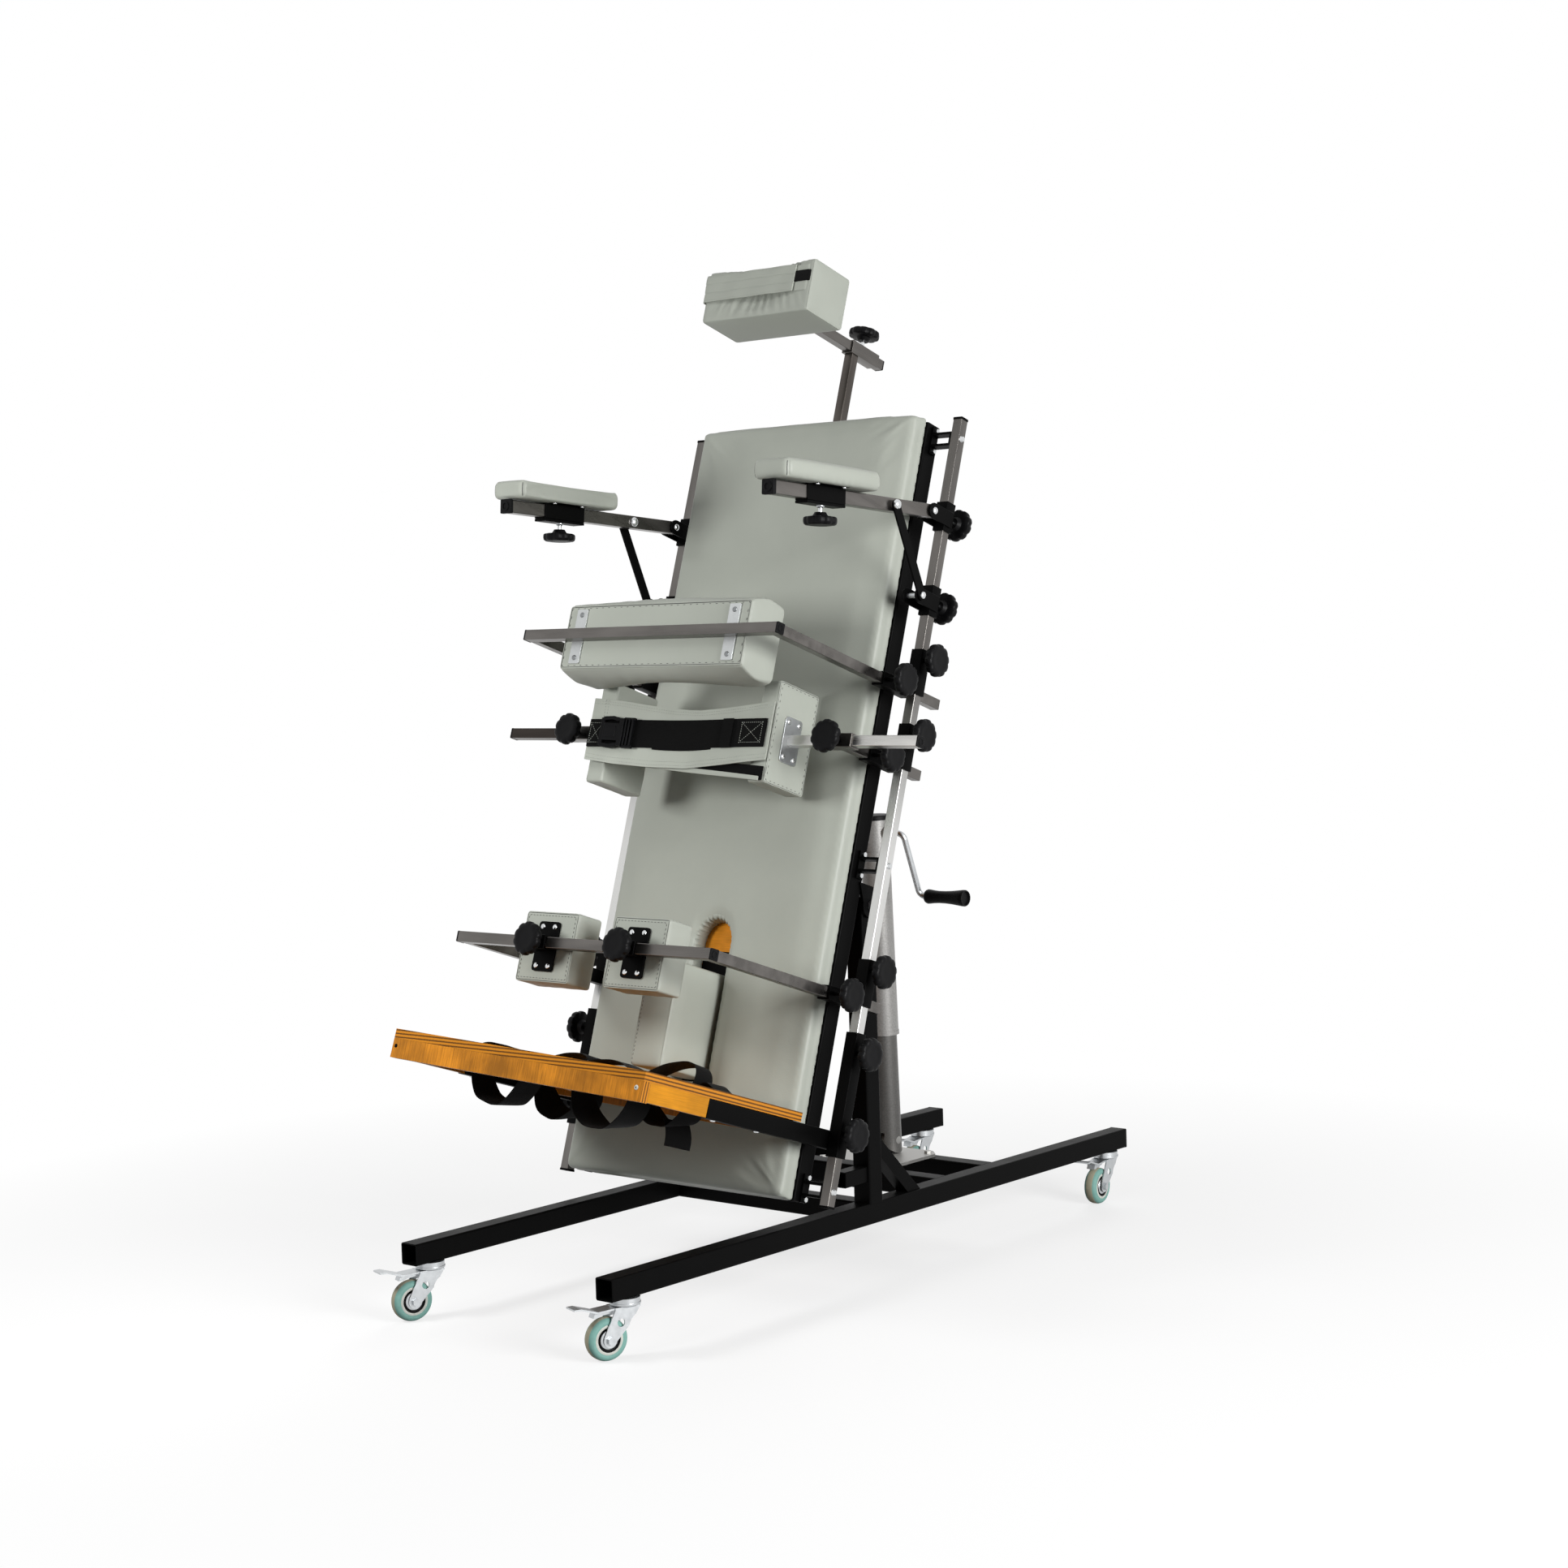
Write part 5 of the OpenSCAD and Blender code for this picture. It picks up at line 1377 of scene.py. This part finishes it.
class FRAME_OT_clamps(bpy.types.Operator):
    """Sleeves, ears and plates of the sliding clamps"""

    bl_idname = "frame.clamps"
    bl_label = "Clamps"

    ear = 3.5

    def execute(self, context):
        self.rail_clamps()
        for k, side in SIDES.items():
            self.arm_clamps(k, side)
            self.arm_carriage(k, on_arm(side))
            self.knee_holder(k)
        self.foot_arms()
        self.hip_arms()
        self.head_post()
        return {"FINISHED"}

    def rail_clamps(self):
        """Clamps of the chest, hip and knee supports: a sleeve on the rail and one for the arm that stands out."""
        tall, below, out, behind = 87, 10, 60, 9
        for name, u in CLAMPS:
            shape = Shape()
            for side in (-1, 1):
                place = sided(side)
                shape.add(square_tube(SLEEVE, tall), place @ shift(RAIL_X, u - below, RAIL_N))
                shape.add(square_tube(SLEEVE, out - RAIL_N + behind), place @ shift(ARM_X, u, RAIL_N - behind) @ TO_N)
            steel_piece(f"{name}_clamp_sleeves", shape, f"{name}_clamps", f"{name}_clamps")

    def knee_holder(self, k):
        """Sleeve on the knee bar, with the screwed plate behind a knee pad."""
        x, mid, long = KNEE_X[k], KNEE_FRONT - RAIL / 2, 40
        shape = Shape().add(square_tube(SLEEVE, long), at(x - long / 2, KNEE_U, mid) @ TO_X)
        shape.add(prism(rounded(52, 92, 6), 0, 4), at(x, KNEE_U - 4, mid - SLEEVE / 2 - 3) @ TO_N)
        steel_piece(f"knee_holder_plate_{k}", shape, f"knee_{k}", f"knee_holder_{k}")
        spots = [at(x + v, KNEE_U - 4 + u, mid - SLEEVE / 2 + 1) @ TO_N for u in (-36, 36) for v in (-15, 15)]
        set_on_points(f"knee_holder_screws_{k}", dome(5.2, 2.8), spots, "bright_chrome", f"knee_{k}")

    def foot_arms(self):
        low, tall, behind, long = 292, 229, 36, 364
        arm = hollow(rounded(20, 34, 2), rounded(16, 30, 1), 0, long)
        shape = Shape()
        for side in (-1, 1):
            place = sided(side)
            shape.add(square_tube(SLEEVE, tall), place @ shift(RAIL_X, low, RAIL_N))
            shape.add(arm, place @ shift(RAIL_X - SLEEVE / 2 - 10, foot_arm_u(side), -behind) @ TO_N)
        steel_piece("foot_arm_tubes", shape, "foot", "foot_arms")

    def hip_arms(self):
        """Arms out of the hip clamps, each with the cross sleeve of its hip bar."""
        behind, long = 103, 76
        shape = Shape()
        for k, side in SIDES.items():
            place = sided(side)
            arm = square_tube(RAIL, HIP_N[k] - SLEEVE / 2 + behind, 2)
            shape.add(arm, place @ shift(ARM_X, HIP_U, -behind) @ TO_N)
            shape.add(square_tube(SLEEVE, long), place @ shift(ARM_X - long / 2, HIP_U, HIP_N[k]) @ TO_X)
        piece("hip_arm_tubes", shape, ["stainless_along_n"], "hip_arms", ("hip_arms",), bevel=0.6)

    def head_post(self):
        """Post out of the table's socket, with the cross sleeve of the head bar."""
        low, gap, long, behind = 1560, 13, 86, 70
        shape = Shape().add(square_tube(RAIL, HEAD_U - gap - low, 2), at(0, low, POST_N))
        shape.add(square_tube(SLEEVE, long), at(0, HEAD_U, POST_N - behind) @ TO_N, 1)
        # The post tube wears the darker copy of the stainless, painted shade
        piece("head_post_tube", shape, ["stainless_post", "stainless_along_n"], "head_post",
              ("head_post",), bevel=0.6)

    def ears(self, shape, place, u, n):
        """Hinge ears on both faces of a rail sleeve."""
        outline = [(-n + 15 * math.cos(a), 15 * math.sin(a)) for a in np.linspace(math.pi / 2, 3 * math.pi / 2, 12)]
        outline += [(30, -15), (30, 15)]
        for x in (RAIL_X - SLEEVE / 2 - self.ear, RAIL_X + SLEEVE / 2):
            turn = Matrix(((0, 0, 1, x), (1, 0, 0, 0), (0, 1, 0, u), (0, 0, 0, 1)))
            shape.add(prism(outline, 0, self.ear), place @ turn)

    def arm_clamps(self, k, side):
        """Upper and lower rail clamp of an armrest, with their hinge pins and bolt heads."""
        place = sided(side)
        inner, outer = RAIL_X - SLEEVE / 2 - self.ear, RAIL_X + SLEEVE / 2 + self.ear
        for name, low, tall, u, n, out in (("arm_clamp", 1484, 57, ELBOW_U, ELBOW_N, 0),
                                           ("arm_foot", 1317, 58, STRUT_U, STRUT_N, 4.6)):
            body, long = f"{name}_{k}", outer - inner + out
            shape = Shape().add(square_tube(SLEEVE, tall), place @ shift(RAIL_X, low, RAIL_N))
            self.ears(shape, place, u, n)
            steel_piece(f"{name}_sleeve_{k}", shape, body, body)
            pin = Shape().add(lathe([(0, 0), (5, 0), (5, long), (0, long)], 20), place @ shift(inner, u, n) @ TO_X)
            piece(f"{name}_pin_{k}", pin, ["zinc_plate"], body)
            heads = [place @ shift(outer + out, u, n) @ TO_X, place @ shift(inner, u, n) @ FROM_X]
            set_on_points(f"{name}_bolts_{k}", dome(7, 5), heads, "bright_chrome", body)

    def arm_carriage(self, k, arm):
        """Bolts of an arm bar's strut, and the carriage under the arm pad with its screws."""
        bar, strut = 12.5, 7.8
        heads = [arm @ moved(bar + strut, -STRUT_AT, 0) @ TO_X, arm @ moved(-bar, -STRUT_AT, 0) @ FROM_X]
        set_on_points(f"arm_bar_bolts_{k}", dome(9.5, 8), heads, "bright_chrome", f"arm_{k}")
        near, far, half, body = -CARRIAGE_AT, -CARRIAGE_AT - CARRIAGE_LONG, 14.8, f"arm_carriage_{k}"
        shape = Shape().add(square_tube(2 * half, CARRIAGE_LONG, 2), arm @ moved(0, near, 0) @ TO_N)
        shape.add(box((-half, half), (far, near), (-20, -15)), arm)
        shape.add(box((-30, 30), (far + 8, near - 8), (half, 16)), arm)
        steel_piece(f"arm_carriage_sleeve_{k}", shape, body, body, 0.6)
        spots = [arm @ moved(x, near - y, half) @ DOWN for x in (23, -23) for y in (16, 91)]
        set_on_points(f"arm_carriage_screws_{k}", dome(4.5, 2.6), spots, "bright_chrome", body)


class FRAME_OT_knobs(bpy.types.Operator):
    """Lobed clamp knobs on their studs"""

    bl_idname = "frame.knobs"
    bl_label = "Knobs"

    lobes, dip, rim_from = 10, 2.3, 22

    def head(self):
        """Knob head: boss, lobed rim and slightly domed face."""
        profile = [(0, -2), (10.5, -2), (11.5, 0), (15, 5), (20, 6), (28.2, 6.4), (30.4, 7.6), (31.2, 10), (31.2, 15),
                   (30.2, 18.6), (27.4, 20.6), (21, 21.4), (17, 20.8), (8, 20.9), (0, 21)]
        points, faces = lathe(profile, 80)
        shaped = []
        for x, y, z in points:
            r = math.hypot(x, y)
            if r > self.rim_from:
                lobe = (0.5 + 0.5 * math.cos(self.lobes * math.atan2(y, x))) ** 3
                r2 = r - self.dip * lobe * min(1, (r - self.rim_from) / 7)
                x, y = x * r2 / r, y * r2 / r
            shaped.append((x, y, z))
        return shaped, faces

    def execute(self, context):
        # Each place with the length of its stud
        spots = {"head_post": [(at(0, HEAD_U + SLEEVE / 2, POST_N - 27), 16)]}
        for k, side in SIDES.items():
            place, outer = sided(side), RAIL_X + SLEEVE / 2
            for name, u in (("arm_clamp", 1512), ("arm_foot", 1346)):
                spots[f"{name}_{k}"] = [(place @ shift(RAIL_X, u, RAIL_N - SLEEVE / 2) @ TO_BACK, 18)]
            under = moved(0, -CARRIAGE_AT - CARRIAGE_LONG / 2, -20)
            spots[f"arm_carriage_{k}"] = [(on_arm(side) @ under @ DOWN, 14)]
            spots[f"knee_{k}"] = [(at(KNEE_X[k], KNEE_U, KNEE_FRONT - RAIL / 2 + SLEEVE / 2) @ TO_N, 10)]
            for name, u in CLAMPS:
                spots.setdefault(f"{name}_clamps", []).extend((
                    (place @ shift(ARM_X + SLEEVE / 2, u, 46) @ TO_X, 28),
                    (place @ shift(outer, u + 57, RAIL_N) @ TO_X, 14)))
            spots.setdefault("hip_arms", []).append(
                (place @ shift(ARM_X, HIP_U, HIP_N[k] + SLEEVE / 2) @ TO_N, 14))
            spots.setdefault("foot", []).extend((place @ shift(outer, u, RAIL_N) @ TO_X, 14) for u in (336, 484))
        head = self.head()
        stud = lathe([(0, 0), (4, 0), (4, 1), (0, 1)], 20)
        nut = dome(7.5, 5)
        for body, places in spots.items():
            set_on_points(f"{body}_knobs", head, [m @ moved(0, 0, s) for m, s in places], "moulded_nylon", body)
            set_on_points(f"{body}_studs", stud, [m @ Matrix.Diagonal((1, 1, s, 1)) for m, s in places],
                          "bright_chrome" if body.startswith(("arm", "head")) else "powder_coated_steel", body)
            if body.startswith(("arm_carriage", "head")):
                set_on_points(f"{body}_stud_nuts", nut, [m for m, s in places], "zinc_plate", body)
        return {"FINISHED"}


class FRAME_OT_castors(bpy.types.Operator):
    """Castor wheels: rubber tyre, tread, rim ring and hub"""

    bl_idname = "frame.castors"
    bl_label = "Castor wheels"

    def execute(self, context):
        r, h, bore = 37.5, 13.5, 5.2
        tyre, rim_ring, web, hub, tread = range(5)
        names = ["tyre_rubber", "pale_rim", "moulded_nylon", "zinc_plate", "tread_rubber"]
        bands = (
            ([(bore, h - 3), (bore, h), (9, h + 0.6), (14, h), (16.4, h - 1.2)], hub),
            ([(16.4, h - 1.2), (17.4, h - 3.6), (19, h - 3.8), (20.2, h - 3.4), (21.4, h - 0.6)], web),
            ([(21.4, h - 0.6), (22.6, h + 0.1), (25, h), (26, h - 0.6)], rim_ring),
            ([(26, h - 0.6), (28.4, h + 0.2), (31, h - 0.1), (33.6, h - 1.4), (35.6, h - 3.6), (36.7, h - 6.4)], tyre),
            ([(36.7, h - 6.4), (37.4, h - 9), (r, 0)], tread),
        )
        for k, (sx, sy, yaw) in CASTORS.items():
            place = BASE @ moved(sx * CASTOR_X, sy * CASTOR_Y, CASTOR_Z) @ turned(math.radians(yaw), "Z")
            place = place @ moved(0, -TRAIL, -DROP) @ TO_X
            shape = Shape()
            for profile, number in bands:
                points, faces = lathe(profile, 64)
                for way in (Matrix(), Matrix.Scale(-1, 4, (0, 0, 1))):
                    shape.add((points, [f[::-1] for f in faces]), place @ way, number)
            shape.add(lathe([(bore, -h + 3), (bore, h - 3)], 64), place, hub)
            self.close(piece(f"castor_tyre_{k}", shape, names, f"wheel_{k}", (f"castor_wheel_{k}",)))
        return {"FINISHED"}

    def close(self, made):
        """Joins the rings of a wheel and turns their faces outwards."""
        work = bmesh.new()
        work.from_mesh(made.data)
        bmesh.ops.remove_doubles(work, verts=work.verts, dist=1e-6)
        bmesh.ops.recalc_face_normals(work, faces=work.faces)
        work.to_mesh(made.data)
        work.free()
        shade(made, 50)


class FRAME_OT_jack_details(bpy.types.Operator):
    """Jack cap and crank grip"""

    bl_idname = "frame.jack_details"
    bl_label = "Jack and crank"

    def execute(self, context):
        cap = lathe([(0, 0), (33.3, 0), (33.6, 2), (32.6, 7.5), (30.4, 9.4), (26, 9.9), (0, 10.2)], 48)
        black_piece("jack_cap", Shape().add(cap, JACK @ moved(0, 0, 659)), "jack_tube", angle=30)
        profile = [(5.1, 0), (11.5, 0), (13.2, 1.2), (14.8, 5), (14.6, 9), (13.2, 20), (12.4, 32), (12.6, 48),
                   (13.6, 64), (15.6, 82), (16.6, 90), (16.7, 96), (15.6, 98), (13.6, 97.6), (12.4, 94), (5.1, 93.4)]
        bore = [(5.1, 93.4), (5.1, 0)]
        plug = [(0, 93.7), (12.2, 93.7), (12.2, 94), (0, 94)]
        shape = Shape()
        for line in (profile, bore, plug):
            shape.add(lathe(line, 40), CRANK @ moved(90, 0, -CRANK_R) @ TO_X)
        black_piece("crank_grip_handle", shape, "grip", ("crank_grip",), angle=45)
        return {"FINISHED"}


class FRAME_OT_plugs(bpy.types.Operator):
    """Plugs in the ends of bars, with their raised rings"""

    bl_idname = "frame.plugs"
    bl_label = "Bar plugs"

    def plug(self, shape, place, side):
        shape.add(prism(rounded(side, side, 2), 0, 3.4), place)
        shape.add(hollow(circle(7, 24), circle(4.6, 24), 3.4, 4.2), place)
        return shape

    def execute(self, context):
        for body, u, front in (("chest", CHEST_U, CHEST_FRONT), ("knee", KNEE_U, KNEE_FRONT)):
            shape = Shape()
            for side in (-1, 1):
                end = sided(side) @ shift(ARM_X + RAIL / 2, u, front - RAIL / 2) @ TO_X
                self.plug(shape, end, RAIL + 0.6)
            black_piece(f"{body}_bar_plugs", shape, body, bevel=0.4)
        shape = self.plug(Shape(), at(0, HEAD_U, -142.6) @ TO_BACK, RAIL + 0.4)
        black_piece("head_bar_plug", shape, "head", bevel=0.4)
        for k, side in SIDES.items():
            shape = self.plug(Shape(), sided(side) @ shift(487, HIP_U, HIP_N[k]) @ TO_X, RAIL + 0.8)
            black_piece(f"hip_bar_plug_{k}", shape, f"hip_{k}", bevel=0.4)
            end = on_arm(side) @ moved(0, -457.6, 0) @ TO_N
            shape = Shape().add(prism(rounded(27.4, 27.4, 2.5), 0, 7.6), end)
            shape.add(hollow(circle(9.2, 32), circle(5.8, 32), 7.6, 9.2), end)
            black_piece(f"arm_bar_plug_{k}", shape, f"arm_{k}", bevel=0.5)
        return {"FINISHED"}


class FRAME_OT_plate_screws(bpy.types.Operator):
    """Chest strips and hip plates with their screws"""

    bl_idname = "frame.plate_screws"
    bl_label = "Plate screws"

    def execute(self, context):
        strips, face = (-191, 191), CHEST_FRONT - RAIL
        spots = [at(x, CHEST_U + u, face) @ TO_N for x in strips for u in (-42, 42)]
        # The screw heads wear the darker zinc, painted shade
        set_on_points("chest_strip_screws", dome(5, 2.6), spots, "screw_steel", "chest")
        shape = Shape()
        for x in strips:
            shape.add(prism(rounded(26.4, 106.4, 2), 0, 2.9), at(x, CHEST_U, face - 2.6) @ TO_N)
        piece("chest_strips", shape, ["pale_aluminium"], "chest", bevel=0.3)
        for k, side in SIDES.items():
            place = sided(side)
            spots = [place @ shift(HIP_PLATE[k] + 2.5, HIP_U + u, HIP_N[k] + n) @ TO_X
                     for u in (-33, 33) for n in (-15, 15)]
            set_on_points(f"hip_plate_screws_{k}", dome(5, 2.9), spots, "bright_chrome", f"hip_{k}")
            shape = Shape().add(prism(rounded(86.4, 48.4, 7), 0, 2.8),
                                place @ shift(HIP_PLATE[k] - 0.1, HIP_U, HIP_N[k]) @ TO_X)
            piece(f"hip_plate_{k}", shape, ["zinc_plate"], f"hip_{k}", bevel=0.4)
        return {"FINISHED"}


class FRAME_OT_stage(bpy.types.Operator):
    """Pale floor, soft studio light and the camera"""

    bl_idname = "frame.stage"
    bl_label = "Stage"

    # Where each lamp stands and looks, in metres, with its side in metres and its power in watts
    lamps = (("key", (-0.8, -1.9, 1.45), (0, -0.3, 0.9), 0.5, 27),
             ("high", (0.2, -2.0, 4.2), (0, -0.2, 0.9), 1.8, 26),
             ("side", (4.7, -0.7, 1.7), (0, -0.1, 1.0), 2.2, 270),
             ("back", (-2.0, 4.2, 3.0), (0, 0.2, 0.9), 2.4, 110))

    def execute(self, context):
        scene = context.scene
        scene.view_settings.view_transform = "Standard"
        scene.world = bpy.data.worlds.new("Studio")
        scene.world.use_nodes = True
        self.white_room(scene.world.node_tree)
        far = 30
        floor = new_object("floor", [(-far, -far, 0), (far, -far, 0), (far, far, 0), (-far, far, 0)], [(0, 1, 2, 3)])
        pale = bpy.data.materials.new("pale_floor")
        pale.use_nodes = True
        self.pale_floor(pale.node_tree)
        floor.data.materials.append(pale)
        for name, where, aim, size, power in self.lamps:
            light = bpy.data.lights.new(name, "AREA")
            light.energy, light.size = power, size
            lamp = linked(name, light)
            lamp.location = where
            lamp.rotation_euler = (Vector(aim) - Vector(where)).to_track_quat("-Z", "Y").to_euler()
            lamp.visible_camera = False
            lamp.visible_glossy = name == "side"
        self.camera(scene)
        return {"FINISHED"}

    def seen(self, tree):
        """1 where the camera looks, straight, in a reflection or through glass."""
        tree.nodes.clear()
        path = add(tree, "ShaderNodeLightPath").outputs
        straight = calc(tree, "MAXIMUM", path["Is Camera Ray"], path["Is Glossy Ray"])
        return calc(tree, "MAXIMUM", straight, path["Is Transmission Ray"])

    def white_room(self, tree):
        """White to the camera and in reflections, and a weak even light on the rest."""
        seen = self.seen(tree)
        soft, white = (add(tree, "ShaderNodeBackground", values={"Color": (1, 1, 1, 1), "Strength": s}).outputs[0]
                       for s in (0.06, 1.0))
        mix = add(tree, "ShaderNodeMixShader", {0: seen, 1: soft, 2: white})
        add(tree, "ShaderNodeOutputWorld", {0: mix.outputs[0]})

    def pale_floor(self, tree):
        """Paint that keeps the shadow near the part and goes over into the white room.
        The floor throws little light back up, as in a studio, and stays pale to the camera."""
        seen = self.seen(tree)
        place = add(tree, "ShaderNodeTexCoord").outputs["Object"]
        far = add(tree, "ShaderNodeVectorMath", {0: place}, operation="LENGTH").outputs["Value"]
        fade = add(tree, "ShaderNodeMapRange", {"Value": far},
                   {"From Min": 0.9, "From Max": 2.2, "To Min": 0.72, "To Max": 1.0})
        share = calc(tree, "MULTIPLY", seen, fade.outputs[0])
        tone = add(tree, "ShaderNodeMapRange", {"Value": seen}, {"To Min": 0.2, "To Max": 0.9})
        paint = add(tree, "ShaderNodeBsdfDiffuse", {"Color": tone.outputs[0]})
        white = add(tree, "ShaderNodeEmission", values={"Color": (1, 1, 1, 1), "Strength": 1.0})
        mix = add(tree, "ShaderNodeMixShader", {0: share, 1: paint.outputs[0], 2: white.outputs[0]})
        add(tree, "ShaderNodeOutputMaterial", {0: mix.outputs[0]})

    def camera(self, scene):
        """The photograph's camera, worked out for its 1932 by 1932 frame."""
        azimuth, elevation, roll = math.radians(40.01), math.radians(3.24), math.radians(-1.77)
        focal, frame_side, sensor = 3340, 1932, 36
        spot = Vector((3396, SHIFT - 4036, 1225)) * MM
        back = Vector((math.sin(azimuth) * math.cos(elevation), -math.cos(azimuth) * math.cos(elevation),
                       math.sin(elevation)))
        right = Vector((math.cos(azimuth), math.sin(azimuth), 0))
        up = back.cross(right)
        x = right * math.cos(roll) + up * math.sin(roll)
        y = up * math.cos(roll) - right * math.sin(roll)
        data = bpy.data.cameras.new("camera")
        data.sensor_width = sensor
        data.lens = sensor * focal / frame_side
        data.clip_end = 100
        made = linked("camera", data)
        made.matrix_world = Matrix((*zip(x, y, back, spot), (0, 0, 0, 1)))
        scene.camera = made


OPERATORS = (FRAME_OT_stage, FRAME_OT_finishes, FRAME_OT_table_cushion, FRAME_OT_knee_wedge, FRAME_OT_head_pad,
             FRAME_OT_arm_pads, FRAME_OT_chest_pad, FRAME_OT_hip_pads, FRAME_OT_hip_belt, FRAME_OT_knee_pads,
             FRAME_OT_foot_board, FRAME_OT_foot_loops, FRAME_OT_clamps, FRAME_OT_knobs, FRAME_OT_castors,
             FRAME_OT_jack_details, FRAME_OT_plugs, FRAME_OT_plate_screws)


class FRAME_PT_panel(bpy.types.Panel):
    """Settings and steps of the standing frame"""

    bl_idname = "FRAME_PT_panel"
    bl_label = "Standing frame"
    bl_space_type = "VIEW_3D"
    bl_region_type = "UI"
    bl_category = "Standing frame"

    def draw(self, context):
        chosen = context.scene.standing_frame
        for group in (chosen.finish, chosen.pad):
            for key in group.bl_rna.properties.keys():
                if key not in ("rna_type", "name"):
                    self.layout.prop(group, key)
        for operator in OPERATORS:
            self.layout.operator(operator.bl_idname)


CLASSES = (FinishSettings, PadSettings, StandingFrameSettings, *OPERATORS, FRAME_PT_panel)


def register():
    for c in CLASSES:
        bpy.utils.register_class(c)
    bpy.types.Scene.standing_frame = PointerProperty(type=StandingFrameSettings)


def unregister():
    del bpy.types.Scene.standing_frame
    for c in reversed(CLASSES):
        bpy.utils.unregister_class(c)


def main():
    register()
    for operator in OPERATORS:
        group, name = operator.bl_idname.split(".")
        getattr(getattr(bpy.ops, group), name)()


if __name__ == "__main__":
    main()
